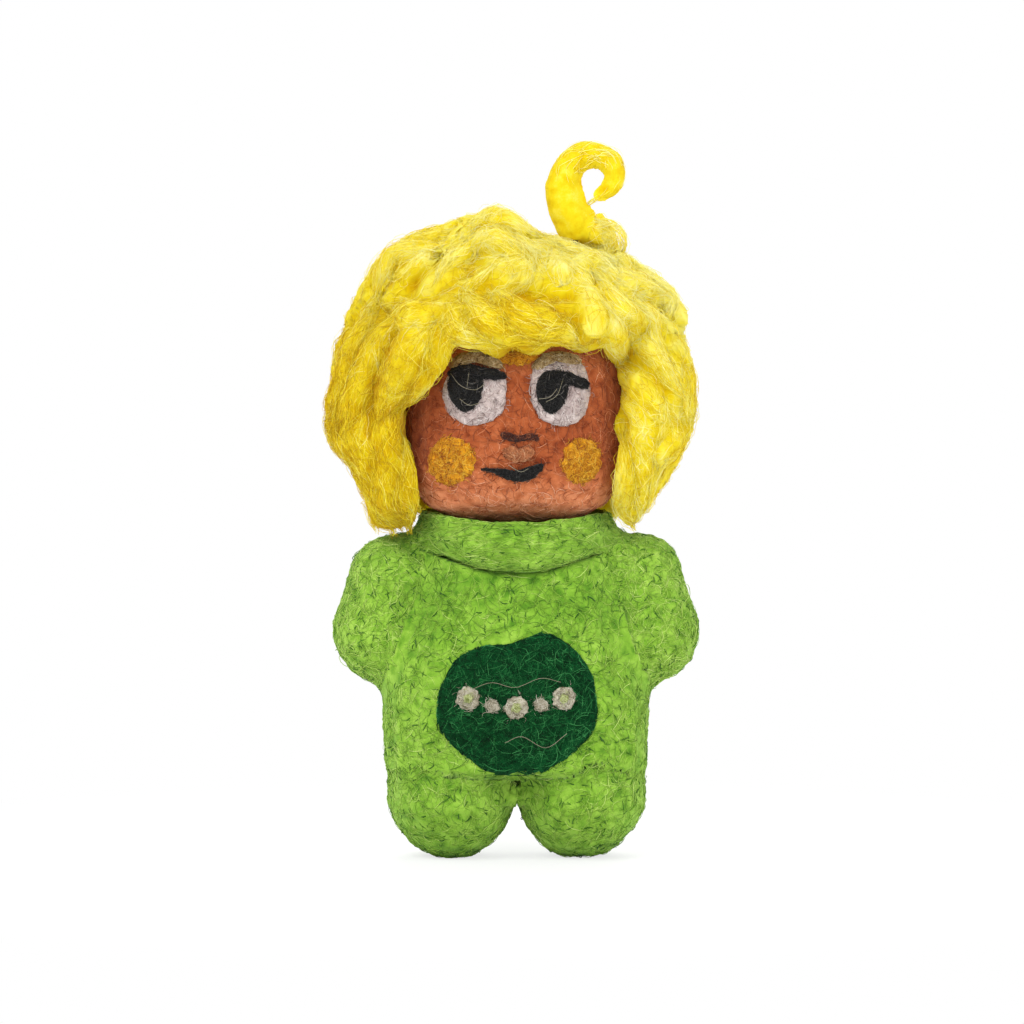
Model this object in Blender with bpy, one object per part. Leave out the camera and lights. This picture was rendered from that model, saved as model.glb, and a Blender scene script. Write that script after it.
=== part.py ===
"""Bendy doll of needle-felted wool over a soft steel wire armature.

Metres, +Z up, the face towards -Y, standing on its two soles at Z = 0.
Right and left are the doll's own, so its right arm is at -X.
"""

import math

import bmesh
import bpy
from mathutils import Matrix, Vector

MM = 0.001

# Fits
CLEAR = 0.3 * MM
PATCH_CLEAR = 0.35 * MM
SLOT_MARGIN = 0.1 * MM
OVERRUN = 4.0 * MM

# Torso: a felted block that tapers from the waist to the shoulders
TORSO_BOTTOM = 12.4 * MM
TORSO_TOP = 43.7 * MM
WAIST_HEIGHT = 23.6 * MM
HIP_HALF_WIDTH = 18.4 * MM
SHOULDER_HALF_WIDTH = 12.98 * MM
BELLY_HALF_DEPTH = 12.4 * MM
SHOULDER_HALF_DEPTH = 8.8 * MM
BELLY_HEIGHT = 18.0 * MM
BELLY_SPREAD = 18.0 * MM
TORSO_TOP_ROUND = 3.2 * MM
TORSO_BOTTOM_ROUND = 0.5 * MM
TORSO_SKIN = 2.2 * MM
HIP_SKIN = 0.7 * MM
TORSO_SQUARENESS = 3.1

# Collar: a rolled band, deeper at the throat
COLLAR_HALF_WIDTH = 11.2 * MM
COLLAR_HALF_DEPTH = 9.8 * MM
COLLAR_ROLL = 2.8 * MM
COLLAR_RISE = 1.9 * MM
COLLAR_THROAT_DROP = 1.7 * MM
COLLAR_THROAT_EXTRA = 1.0 * MM

# Neck: the wire bends inside a ball of wrapped wool
NECK_RISE = 1.7 * MM
NECK_PIVOT = Vector((0, 0, TORSO_TOP + NECK_RISE))
NECK_BALL = 2.6 * MM

# Head
HEAD_RISE = 16.6 * MM
HEAD_FORWARD = 0.5 * MM
HEAD_CENTRE = NECK_PIVOT + Vector((0, -HEAD_FORWARD, HEAD_RISE))
HEAD_HALF_WIDTH = 15.6 * MM
HEAD_HALF_DEPTH = 13.4 * MM
HEAD_HALF_HEIGHT = 15.0 * MM
HEAD_SQUARENESS = 2.7
HEAD_SKIN = 2.4 * MM
NOSE_HEIGHT = 1.0 * MM
NOSE_PLACE = (0.6 * MM, -1.8 * MM)
NOSE_SPREAD = 2.6 * MM
HEAD_WIRE_RISE = 1.0 * MM
HEAD_HOOK = 2.6 * MM

# Arms: drops are below the torso's top, outsets are out from its flank
ARM_PIVOT_DROP = 4.8 * MM
ARM_PIVOT_OUTSET = 2.725 * MM
SHOULDER_BALL = 6.4 * MM
HAND_DROP = 12.3 * MM
HAND_OUTSET = 2.3 * MM
HAND_RADIUS = 7.0 * MM
BALL_MARGIN = 0.05 * MM
HAND_HOOK = 1.7 * MM

# Legs, given for the left side
HIP_PIVOT = Vector((8.9 * MM, 0, 13.5 * MM))
HIP_BALL = 7.2 * MM
FOOT_CENTRE = Vector((8.9 * MM, 0, 9.2 * MM))
FOOT_HALF_WIDTH = 8.6 * MM
FOOT_HALF_DEPTH = 10.0 * MM
FOOT_HALF_HEIGHT = 9.5 * MM
FOOT_SQUARENESS = 2.1
FOOT_WIRE_HEIGHT = 5.4 * MM
FOOT_WIRE_REACH = 4.6 * MM
FOOT_WIRE_BEND = 1.8 * MM

# Joint ranges in degrees
NECK_TURN = 35.0
NECK_NOD = 8.0
NECK_TILT = 6.0
ARM_RAISE = 75.0
LEG_SWING = 20.0
LEG_SPREAD = 8.0
CURL_LEAN = 15.0
CURL_NOD = 20.0

# Armature
WIRE = 0.6 * MM
STRAND_GAP = 0.36 * MM
STRAND_PITCH = 9.0 * MM
STRAND_ABOVE_LOOP = 2.6 * MM
STRAND_BELOW_LOOP = 4.8 * MM
STRAND_BEND = 3.0 * MM
ARM_LOOP_GAP = 0.4 * MM
ARM_LOOP_PITCH = 2.4 * MM
CHAMBER_MARGIN = 0.3 * MM

# Hair: a cap of locks, a fringe and two side locks
CAP_ACROSS = 0.4 * MM
CAP_BACK = 1.2 * MM
CAP_RISE = 6.6 * MM
CAP_CENTRE = HEAD_CENTRE + Vector((-CAP_ACROSS, CAP_BACK, CAP_RISE))
CAP_HALF_WIDTH = 24.5 * MM
CAP_HALF_DEPTH = 16.7 * MM
CAP_HALF_HEIGHT = 21.2 * MM
CAP_LUMP = 1.7 * MM
CAP_LUMP_SPREAD = 0.30
CAP_LOCKS = 16
CAP_LOCK_RISE = 1.2 * MM
CAP_LOCK_SHARES = (0.7, 1.0, -1.0)
CAP_LOCK_LEAN = 0.22
CAP_LOCK_WAVES = 2.6
CAP_FRONT = -3.0 * MM
CAP_BROW_RISE = 15.5 * MM
CAP_NAPE_DROP = 10.5 * MM
CAP_BROW = HEAD_CENTRE.z + CAP_BROW_RISE
CAP_NAPE = HEAD_CENTRE.z - CAP_NAPE_DROP
LOCK_RADIUS = 5.2 * MM

# Curl on the crown
CURL_ACROSS = 8.7 * MM
CURL_FORWARD = 1.7 * MM
CURL_RISE = 19.8 * MM
CURL_PIVOT = CAP_CENTRE + Vector((CURL_ACROSS, -CURL_FORWARD, CURL_RISE))
CURL_RADIUS = 2.9 * MM
CURL_SIZE = 10.0 * MM
CURL_WIRE = 0.35 * MM
CURL_WIRE_SHARE = 0.78
ROOT_LOCK_RADIUS = 2.5 * MM

# Face, given in the frontal plane as X and Z from the head's centre
FELT_DAB = 0.6 * MM
EYE_HALF_WIDTH = 4.3 * MM
EYE_HALF_HEIGHT = 3.8 * MM
RIGHT_EYE = (-5.7 * MM, 2.6 * MM)
LEFT_EYE = (6.1 * MM, 2.4 * MM)
PUPIL_SHIFT = (-1.3 * MM, 0.4 * MM)
PUPIL_HALF_WIDTH = 2.3 * MM
PUPIL_HALF_HEIGHT = 2.6 * MM
LASH_SHIFT = 2.9 * MM
LASH_HALF_WIDTH = 4.3 * MM
LASH_THICKNESS = 0.5 * MM
LASH_RISE = 1.1 * MM
LID_SHIFT = 3.1 * MM
LID_HALF_WIDTH = 3.9 * MM
LID_THICKNESS = 0.7 * MM
LID_RISE = 1.9 * MM
CHEEK_RADIUS = 3.2 * MM
RIGHT_CHEEK = (-8.9 * MM, -6.3 * MM)
LEFT_CHEEK = (9.1 * MM, -6.3 * MM)
NOSE_LINE_PLACE = (0.5 * MM, -3.3 * MM)
NOSE_LINE_HALF_WIDTH = 2.9 * MM
NOSE_LINE_THICKNESS = 0.5 * MM
LIP_PLACE = (0.4 * MM, -5.4 * MM)
LIP_HALF_WIDTH = 2.5 * MM
LIP_HALF_HEIGHT = 0.9 * MM
MOUTH_PLACE = (-0.5 * MM, -7.1 * MM)
MOUTH_HALF_WIDTH = 4.4 * MM
MOUTH_THICKNESS = 0.7 * MM
MOUTH_SMILE = 1.8 * MM
MOUTH_LEAN = 0.6 * MM
BROW_PLACE = (0.4 * MM, 7.9 * MM)
BROW_HALF_WIDTH = 2.2 * MM
BROW_HALF_HEIGHT = 1.0 * MM

# Belly patch and its dots
PATCH_PLACE = (0, 22.5 * MM)
PATCH_HALF_WIDTH = 10.9 * MM
PATCH_HALF_HEIGHT = 9.3 * MM
PATCH_THICKNESS = 0.8 * MM
PATCH_WOBBLE_SHARE = 0.035
DOT_SPACING = 3.3 * MM
DOT_ARC = 1.3 * MM
LARGE_DOT = 1.75 * MM
SMALL_DOT = 1.05 * MM
DOT_CENTRE = 0.8 * MM
DOT_THICKNESS = 0.5 * MM
DOT_CENTRE_THICKNESS = 0.35 * MM

# Facets
BODY_SIDES = 24
CAP_RINGS = 20
LIMB_SIDES = 18
LIMB_RINGS = 9
LOCK_SIDES = 10
TUBE_SIDES = 8
WIRE_SIDES = 6
DAB_SIDES = 12

# Colours, roughness and metallic value of each material
MATERIALS = {
    "lime_wool": ((0.20, 0.40, 0.035), 0.95, 0.0),
    "dark_green_wool": ((0.008, 0.075, 0.022), 0.95, 0.0),
    "cream_wool": ((0.60, 0.55, 0.47), 0.95, 0.0),
    "pale_green_wool": ((0.50, 0.52, 0.22), 0.95, 0.0),
    "skin_wool": ((0.52, 0.17, 0.065), 0.95, 0.0),
    "cheek_wool": ((0.62, 0.30, 0.02), 0.95, 0.0),
    "black_wool": ((0.008, 0.008, 0.008), 0.9, 0.0),
    "brown_wool": ((0.07, 0.02, 0.01), 0.95, 0.0),
    "white_wool": ((0.70, 0.66, 0.64), 0.95, 0.0),
    "tan_wool": ((0.40, 0.26, 0.13), 0.95, 0.0),
    "lip_wool": ((0.48, 0.20, 0.09), 0.95, 0.0),
    "yellow_wool": ((0.85, 0.65, 0.05), 0.95, 0.0),
    "core_wool": ((0.72, 0.68, 0.58), 0.95, 0.0),
    "steel_wire": ((0.45, 0.45, 0.46), 0.35, 1.0),
}


def clear_scene():
    for obj in list(bpy.data.objects):
        bpy.data.objects.remove(obj)


def wool(name):
    """The material of that name, made on first use."""
    made = bpy.data.materials.get(name)
    if made:
        return made
    colour, roughness, metallic = MATERIALS[name]
    made = bpy.data.materials.new(name)
    made.use_nodes = True
    shader = made.node_tree.nodes["Principled BSDF"]
    shader.inputs["Base Color"].default_value = (*colour, 1)
    shader.inputs["Roughness"].default_value = roughness
    shader.inputs["Metallic"].default_value = metallic
    made.diffuse_color = (*colour, 1)
    return made


def add_object(name, bm, material=None):
    """A smooth-shaded object of that mesh; without a material it is a cutter."""
    bmesh.ops.recalc_face_normals(bm, faces=bm.faces)
    mesh = bpy.data.meshes.new(name)
    bm.to_mesh(mesh)
    bm.free()
    obj = bpy.data.objects.new(name, mesh)
    bpy.context.scene.collection.objects.link(obj)
    if material:
        mesh.materials.append(wool(material))
        mesh.shade_smooth()
        mesh.set_sharp_from_angle(angle=math.radians(40))
    else:
        obj.hide_render = True
        obj.display_type = "WIRE"
    return obj


def boolean(obj, operation, *others):
    for other in others:
        modifier = obj.modifiers.new(f"{operation.lower()} {other.name}", "BOOLEAN")
        modifier.operation = operation
        modifier.solver = "EXACT"
        modifier.object = other


def cut(obj, *cutters):
    boolean(obj, "DIFFERENCE", *cutters)


def skin_rings(bm, rings):
    """Faces between successive rings of points; a ring of one point is a pole."""
    rows = [[bm.verts.new(p) for p in ring] for ring in rings]
    for low, high in zip(rows, rows[1:]):
        count = max(len(low), len(high))
        for i in range(count):
            j = (i + 1) % count
            corners = [low[i % len(low)], low[j % len(low)], high[j % len(high)], high[i % len(high)]]
            corners = [c for k, c in enumerate(corners) if c not in corners[:k]]
            bm.faces.new(corners)
    for row in (rows[0], rows[-1]):
        if len(row) > 2:
            bm.faces.new(row)


def ring_solid(name, rings, material=None):
    bm = bmesh.new()
    skin_rings(bm, rings)
    return add_object(name, bm, material)


def sphere_directions(sides, levels):
    """Rings of unit vectors from the lower pole to the upper one."""
    rings = [[Vector((0, 0, -1))]]
    for level in range(1, levels):
        up = math.pi * (level / levels - 0.5)
        rings.append(
            [
                Vector((math.cos(up) * math.cos(turn), math.cos(up) * math.sin(turn), math.sin(up)))
                for turn in (2 * math.pi * i / sides for i in range(sides))
            ]
        )
    rings.append([Vector((0, 0, 1))])
    return rings


def rounded_point(direction, semis, squareness):
    """The point of a superellipsoid in that direction, from its centre."""
    total = sum(abs(c) ** squareness for c in direction)
    scale = total ** (-1 / squareness)
    return Vector([c * scale * s for c, s in zip(direction, semis)])


def rounded_points(centre, semis, squareness=2.0, sides=LIMB_SIDES, levels=LIMB_RINGS):
    rings = sphere_directions(sides, levels)
    return [centre + rounded_point(d, semis, squareness) for ring in rings for d in ring]


def hull_solid(name, points, material=None):
    bm = bmesh.new()
    for point in points:
        bm.verts.new(point)
    made = bmesh.ops.convex_hull(bm, input=bm.verts)
    loose = {v for v in made["geom_interior"] + made["geom_unused"] if isinstance(v, bmesh.types.BMVert)}
    bmesh.ops.delete(bm, geom=list(loose), context="VERTS")
    return add_object(name, bm, material)


def ball(name, centre, radius, material=None, sides=LIMB_SIDES, levels=LIMB_RINGS):
    return hull_solid(name, rounded_points(centre, (radius,) * 3, sides=sides, levels=levels), material)


def box(name, low, high):
    bm = bmesh.new()
    bmesh.ops.create_cube(bm, size=1)
    low, high = Vector(low), Vector(high)
    middle = (low + high) / 2
    for vert in bm.verts:
        vert.co = middle + Vector([c * s for c, s in zip(vert.co, high - low)])
    return add_object(name, bm)


def smooth_path(points, values, steps):
    """Catmull-Rom points through the given ones, with the values carried along."""
    path, carried = [], []
    last = len(points) - 1
    for i in range(last):
        p = [points[max(i - 1, 0)], points[i], points[i + 1], points[min(i + 2, last)]]
        for k in range(steps):
            t = k / steps
            weights = (
                (-t + 2 * t**2 - t**3) / 2,
                (2 - 5 * t**2 + 3 * t**3) / 2,
                (t + 4 * t**2 - 3 * t**3) / 2,
                (-(t**2) + t**3) / 2,
            )
            path.append(sum((q * w for q, w in zip(p, weights)), Vector()))
            carried.append(values[i] * (1 - t) + values[i + 1] * t)
    return path + [points[last]], carried + [values[last]]


def tube(name, path, radii, material=None, sides=TUBE_SIDES, grow=0.0, round_ends=True):
    """A round tube along the path, wider by grow, with domed or flat ends."""
    tangents = [
        (path[min(i + 1, len(path) - 1)] - path[max(i - 1, 0)]).normalized() for i in range(len(path))
    ]
    across = tangents[0].orthogonal().normalized()
    rings = []
    for point, tangent, radius in zip(path, tangents, radii):
        across = (across - tangent * across.dot(tangent)).normalized()
        other = tangent.cross(across)
        turns = [2 * math.pi * i / sides for i in range(sides)]
        rings.append([point + (across * math.cos(a) + other * math.sin(a)) * (radius + grow) for a in turns])
    if round_ends:
        rings = dome(path[0], -tangents[0], rings[0], radii[0] + grow)[::-1] + rings
        rings += dome(path[-1], tangents[-1], rings[-1], radii[-1] + grow)
    return ring_solid(name, rings, material)


def dome(centre, outward, ring, radius):
    """Two rings and a pole that close a tube with a half ball."""
    rings = []
    for turn in (math.radians(35), math.radians(65)):
        rise = outward * radius * math.sin(turn)
        rings.append([centre + (p - centre) * math.cos(turn) + rise for p in ring])
    rings.append([centre + outward * radius])
    return rings


def wire(name, path, grow=0.0, radius=WIRE, material="steel_wire"):
    return tube(name, path, [radius] * len(path), None if grow else material, WIRE_SIDES, grow)


def wire_in_channel(name, path, radius=WIRE, lead=()):
    """A wire in its wool channel, which can lead further than it; returns the channel's cutter."""
    wire(name, path, radius=radius)
    return wire(name + "_channel", [*lead, *path], CLEAR, radius)


def bend(corner, start, end, size, steps=5):
    """Points of a round bend at a corner between two straight runs."""
    into = (corner - start).normalized()
    out = (end - corner).normalized()
    first, last = corner - into * size, corner + out * size
    shares = [i / steps for i in range(steps + 1)]
    return [first * (1 - t) ** 2 + corner * 2 * t * (1 - t) + last * t**2 for t in shares]


def hook(start, along, side, radius, turn=math.radians(200), steps=8):
    """Points of a hook that curls round from start towards side."""
    centre = start + side * radius
    turns = [turn * i / steps for i in range(steps + 1)]
    return [centre - side * radius * math.cos(a) + along * radius * math.sin(a) for a in turns]


def sector(name, centre, axis, start, sweep, reach, half_width):
    """A flat cutter: the room of a bar from the centre that turns by sweep about axis."""
    bm = bmesh.new()
    steps = max(2, round(abs(sweep) / math.radians(15)))
    quarter = math.copysign(math.pi / 2, sweep)
    start = start.normalized()
    end = Matrix.Rotation(sweep, 3, axis) @ start
    before = Matrix.Rotation(-quarter, 3, axis) @ start * half_width
    after = Matrix.Rotation(quarter, 3, axis) @ end * half_width
    arc = [Matrix.Rotation(sweep * i / steps, 3, axis) @ start * reach for i in range(1, steps)]
    fan = [before, before + start * reach, *arc, after + end * reach, after]
    for shift in (-half_width, half_width):
        bm.faces.new([bm.verts.new(centre + p + axis * shift) for p in fan])
    bm.verts.ensure_lookup_table()
    count = len(fan)
    for i in range(count):
        j = (i + 1) % count
        bm.faces.new([bm.verts[i], bm.verts[j], bm.verts[count + j], bm.verts[count + i]])
    return add_object(name, bm)


def cut_swing_slot(obj, pivot, axis, start, sweep, reach, radius=WIRE):
    """Cut the room that a wire ending at the pivot takes as it turns by sweep degrees."""
    name = f"{obj.name} {axis} swing"
    room = radius + CLEAR + SLOT_MARGIN
    turn = Vector([float(letter == axis) for letter in "XYZ"])
    cut(obj, sector(f"{name} slot", pivot, turn, start, math.radians(sweep), reach, room))
    cut(obj, ball(f"{name} bend", pivot, room + SLOT_MARGIN, sides=TUBE_SIDES, levels=TUBE_SIDES))


def turned(vector, degrees, axis):
    return Matrix.Rotation(math.radians(degrees), 3, axis) @ vector


def mirrored(point, side):
    """A left-side point taken to side +1, left, or -1, right."""
    return Vector((point.x * side, point.y, point.z))


def side_name(side):
    return "left" if side > 0 else "right"


def edge_inset(distance, radius):
    """How far a quarter-round edge of that radius draws in at a distance from the end."""
    if distance >= radius:
        return 0.0
    return radius - math.sqrt(radius**2 - (radius - max(distance, 0)) ** 2)


def torso_side_slope():
    """Half width gained per metre of height lost above the waist."""
    return (HIP_HALF_WIDTH - SHOULDER_HALF_WIDTH) / (TORSO_TOP - WAIST_HEIGHT)


def flank(height):
    """Half width of the torso at a height, without its rounded edges."""
    return HIP_HALF_WIDTH - max(height - WAIST_HEIGHT, 0) * torso_side_slope()


def beside_flank(side, drop, outset):
    """A point that far below the torso's top and out from its flank, on side +1 or -1."""
    height = TORSO_TOP - drop
    return Vector(((flank(height) + outset) * side, 0, height))


def shoulder_pivot(side):
    return beside_flank(side, ARM_PIVOT_DROP, ARM_PIVOT_OUTSET)


def core_bottom():
    return HIP_PIVOT.z + HIP_BALL + CLEAR + HIP_SKIN


def torso_ends(inset):
    """Lowest and highest level of the torso; its core starts above the hip balls."""
    bottom = core_bottom() + inset - TORSO_SKIN if inset else TORSO_BOTTOM
    return bottom, TORSO_TOP - inset


def torso_semis(height, inset=0.0):
    """Half width and half depth of the torso at a height, inset from its skin."""
    bottom, top = torso_ends(inset)
    width = flank(height)
    bulge = math.exp(-(((height - BELLY_HEIGHT) / BELLY_SPREAD) ** 2))
    depth = SHOULDER_HALF_DEPTH + (BELLY_HALF_DEPTH - SHOULDER_HALF_DEPTH) * bulge
    edge = edge_inset(height - bottom, TORSO_BOTTOM_ROUND) + edge_inset(top - height, TORSO_TOP_ROUND)
    return width - edge - inset, depth - edge - inset


def torso_front(x, height):
    """Y of the torso's front skin at that place."""
    width, depth = torso_semis(height)
    share = max(1 - abs(x / width) ** TORSO_SQUARENESS, 0)
    return -depth * share ** (1 / TORSO_SQUARENESS)


def torso_heights(inset=0.0):
    """Levels of the torso's rings, closer together in its rounded edges."""
    bottom, top = torso_ends(inset)
    lower = [bottom, bottom + TORSO_BOTTOM_ROUND / 3, bottom + TORSO_BOTTOM_ROUND]
    upper = [top - TORSO_TOP_ROUND * share for share in (1, 0.55, 0.25, 0.08, 0)]
    count = 6
    middle = [lower[-1] + (upper[0] - lower[-1]) * i / count for i in range(1, count)]
    return lower + middle + upper


def torso_form(name, inset=0.0, material=None):
    rings = []
    for height in torso_heights(inset):
        width, depth = torso_semis(height, inset)
        ring = []
        for i in range(BODY_SIDES):
            turn = 2 * math.pi * (i + 0.5) / BODY_SIDES
            flat = rounded_point((math.cos(turn), math.sin(turn)), (width, depth), TORSO_SQUARENESS)
            ring.append(Vector((flat.x, flat.y, height)))
        rings.append(ring)
    return ring_solid(name, rings, material)


def collar_form(name, grow=0.0, material=None):
    """The rolled band: an oval ring that drops and thickens at the throat."""
    bm = bmesh.new()
    around, section = BODY_SIDES, TUBE_SIDES
    rows = []
    for i in range(around):
        turn = 2 * math.pi * i / around
        throat = max(-math.sin(turn), 0) ** 2
        centre = Vector(
            (
                COLLAR_HALF_WIDTH * math.cos(turn),
                COLLAR_HALF_DEPTH * math.sin(turn),
                TORSO_TOP + COLLAR_RISE - COLLAR_THROAT_DROP * throat,
            )
        )
        out = Vector((math.cos(turn), math.sin(turn), 0))
        tall = COLLAR_ROLL + COLLAR_THROAT_EXTRA * throat + grow
        row = []
        for k in range(section):
            a = 2 * math.pi * k / section
            spot = centre + out * math.cos(a) * (COLLAR_ROLL + grow)
            row.append(bm.verts.new(spot + Vector((0, 0, math.sin(a) * tall))))
        rows.append(row)
    for i in range(around):
        here, there = rows[i], rows[(i + 1) % around]
        for k in range(section):
            n = (k + 1) % section
            bm.faces.new([here[k], here[n], there[n], there[k]])
    return add_object(name, bm, material)


def head_semis(grow=0.0):
    return (HEAD_HALF_WIDTH + grow, HEAD_HALF_DEPTH + grow, HEAD_HALF_HEIGHT + grow)


def on_head(place):
    """X and Z of a place that is given from the head's centre."""
    return (place[0], HEAD_CENTRE.z + place[1])


def nose_bump(x, height):
    across, up = on_head(NOSE_PLACE)
    away = (x - across) ** 2 + (height - up) ** 2
    return NOSE_HEIGHT * math.exp(-away / NOSE_SPREAD**2)


def head_form(name, grow=0.0, material=None, nose=True):
    rings = []
    for ring in sphere_directions(BODY_SIDES, BODY_SIDES * 2 // 3):
        points = [HEAD_CENTRE + rounded_point(d, head_semis(grow), HEAD_SQUARENESS) for d in ring]
        for p in points:
            if nose and p.y < HEAD_CENTRE.y:
                p.y -= nose_bump(p.x, p.z)
        rings.append(points)
    return ring_solid(name, rings, material)


def head_front(x, height):
    """Y of the face's skin at that place."""
    width, depth, tall = head_semis()
    share = 1 - abs((x - HEAD_CENTRE.x) / width) ** HEAD_SQUARENESS
    share -= abs((height - HEAD_CENTRE.z) / tall) ** HEAD_SQUARENESS
    return HEAD_CENTRE.y - depth * max(share, 0) ** (1 / HEAD_SQUARENESS) - nose_bump(x, height)


def dab_solid(bm, outline, centre, surface, lift, thickness):
    """A thin felted dab: the outline laid on a surface, thinner at its rim."""
    fills = (0.7, 1.0)
    heights = (0.95, 0.45)
    x0, z0 = centre
    below = [[Vector((x0, surface(x0, z0) - lift, z0))]]
    above = [[Vector((x0, surface(x0, z0) - lift - thickness, z0))]]
    for fill, height in zip(fills, heights):
        flat = [(x0 + (x - x0) * fill, z0 + (z - z0) * fill) for x, z in outline]
        below.append([Vector((x, surface(x, z) - lift, z)) for x, z in flat])
        above.append([Vector((x, surface(x, z) - lift - thickness * height, z)) for x, z in flat])
    skin_rings(bm, below + above[::-1])


def oval(centre, half_width, half_height, wobble=0.0, sides=DAB_SIDES):
    """An oval outline, with a slight hand-felted wobble as a share of its size."""
    points = []
    for i in range(sides):
        a = 2 * math.pi * i / sides
        r = 1 + wobble * (math.sin(3 * a + 1) + math.sin(5 * a))
        points.append((centre[0] + half_width * r * math.cos(a), centre[1] + half_height * r * math.sin(a)))
    return points


def band(centre, half_width, thickness, rise, lean=0.0, steps=6):
    """A curved band outline: an arch if rise is above zero, a smile if below."""
    shares = [-1 + 2 * i / steps for i in range(steps + 1)]
    middle = [(centre[0] + half_width * s, centre[1] + rise * (1 - s * s) + lean * s) for s in shares]
    half = [thickness * (1 - 0.75 * s * s) for s in shares]
    upper = [(x, z + h) for (x, z), h in zip(middle, half)]
    lower = [(x, z - h) for (x, z), h in zip(middle, half)]
    return lower + upper[::-1]


def dab(name, material, outlines, surface, lift, thickness):
    bm = bmesh.new()
    for outline, centre in outlines:
        dab_solid(bm, outline, centre, surface, lift, thickness)
    return add_object(name, bm, material)


def add_torso():
    """Skin, core wool and collar of the body, with room for what moves in them."""
    skin = torso_form("body_skin", material="lime_wool")
    core_room = torso_form("core_room", TORSO_SKIN)
    core = torso_form("body_core", TORSO_SKIN + CLEAR, "core_wool")
    collar = collar_form("collar", material="lime_wool")
    bore = wire("neck_bore", [Vector((0, 0, strand_ends()[1])), Vector((0, 0, TORSO_TOP + OVERRUN))], CLEAR)
    neck_room = ball("neck_ball_room", NECK_PIVOT, NECK_BALL + CLEAR)
    cut(skin, core_room, bore, neck_room, collar_form("collar_room", CLEAR))
    cut(core, bore, collar_form("core_collar_room", CLEAR))
    for side in (1, -1):
        pivot = shoulder_pivot(side)
        socket = ball(f"{side_name(side)}_shoulder_socket", pivot, SHOULDER_BALL + BALL_MARGIN + CLEAR)
        pocket = leg_room(side)
        cut(skin, socket, pocket)
        cut(core, socket)
        cut(collar, socket)
    cut(collar, chin_room())
    return core


def chin_room():
    """All the room the chin takes as the head turns, nods and tilts."""
    head = rounded_points(HEAD_CENTRE - NECK_PIVOT, head_semis(2 * CLEAR), HEAD_SQUARENESS)
    points = []
    for turn in (-NECK_TURN, 0, NECK_TURN):
        for nod in (-NECK_NOD, 0, NECK_NOD):
            for tilt in (-NECK_TILT, 0, NECK_TILT):
                points += [turned(turned(turned(p, tilt, "Y"), nod, "X"), turn, "Z") for p in head]
    return hull_solid("chin_room", [NECK_PIVOT + p for p in points])


def foot_points(side, grow=0.0):
    semis = (FOOT_HALF_WIDTH + grow, FOOT_HALF_DEPTH + grow, FOOT_HALF_HEIGHT + grow)
    return rounded_points(mirrored(FOOT_CENTRE, side), semis, FOOT_SQUARENESS)


def leg_room(side):
    """All the room a leg takes as it swings and spreads."""
    pivot = mirrored(HIP_PIVOT, side)
    room = HIP_BALL + BALL_MARGIN + CLEAR
    points = rounded_points(pivot, (room,) * 3)
    for swing in (-LEG_SWING, 0, LEG_SWING):
        for spread in (0, LEG_SPREAD):
            points += [
                pivot + turned(turned(p - pivot, swing, "X"), -spread * side, "Y")
                for p in foot_points(side, CLEAR)
            ]
    return hull_solid(f"{side_name(side)}_leg_room", points)


def add_leg(side):
    """Leg skin, its wire and the wire's bend at the hip."""
    name = side_name(side)
    pivot, foot = mirrored(HIP_PIVOT, side), mirrored(FOOT_CENTRE, side)
    points = rounded_points(pivot, (HIP_BALL,) * 3) + foot_points(side)
    leg = hull_solid(f"{name}_leg", points, "lime_wool")
    reach = HIP_BALL + OVERRUN
    floor = box(f"{name}_floor", (foot.x - reach, -reach, -OVERRUN), (foot.x + reach, reach, 0))
    down = Vector((0, 0, -1))
    start = pivot + down * (2 * WIRE + CLEAR)
    corner = Vector((foot.x, 0, FOOT_WIRE_HEIGHT))
    toe = Vector((foot.x, -FOOT_WIRE_REACH, FOOT_WIRE_HEIGHT))
    path = [start, *bend(corner, start, toe, FOOT_WIRE_BEND), toe]
    channel = wire_in_channel(f"{name}_leg_wire", path, lead=[pivot])
    top = pivot - down * (HIP_BALL - WIRE)
    wire(f"{name}_hip_wire", [top, pivot])
    cut(leg, floor, channel)
    cut_swing_slot(leg, pivot, "X", turned(-down, -LEG_SWING, "X"), 2 * LEG_SWING, reach)


def arm_frame(side):
    """Unit vectors out of the torso's flank and down along it, in the frontal plane."""
    down = Vector((torso_side_slope(), 0, -1)).normalized()
    out = Vector((-down.z, 0, down.x))
    return mirrored(out, side), mirrored(down, side)


def add_arm(side):
    """Arm skin, its wire and the wire's bend at the shoulder."""
    name = side_name(side)
    pivot, hand = shoulder_pivot(side), beside_flank(side, HAND_DROP, HAND_OUTSET)
    out, down = arm_frame(side)
    points = rounded_points(pivot, (SHOULDER_BALL,) * 3) + rounded_points(hand, (HAND_RADIUS,) * 3)
    arm = hull_solid(f"{name}_arm", points, "lime_wool")
    against = Vector((HIP_HALF_WIDTH * side, 0, WAIST_HEIGHT)) + out * CLEAR
    reach = SHOULDER_BALL + HAND_RADIUS + OVERRUN
    block = box(f"{name}_flank", (-reach, -reach, -2 * reach), (0, reach, 2 * reach))
    block.matrix_world = Matrix.Translation(against) @ Matrix(
        ((out.x, 0, down.x), (out.y, side, down.y), (out.z, 0, down.z))
    ).to_4x4()
    cut(block, ball(f"{name}_shoulder_ball_room", pivot, SHOULDER_BALL + BALL_MARGIN))
    start = pivot + down * (2 * WIRE + CLEAR)
    palm = hand + down * WIRE
    path = [start, *hook(palm, down, out, HAND_HOOK)]
    channel = wire_in_channel(f"{name}_arm_wire", path, lead=[pivot])
    wire(f"{name}_shoulder_wire", [pivot - out * (SHOULDER_BALL - WIRE), pivot])
    cut(arm, block, channel)
    cut_swing_slot(arm, pivot, "Y", -out, ARM_RAISE * side, SHOULDER_BALL + OVERRUN)


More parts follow.
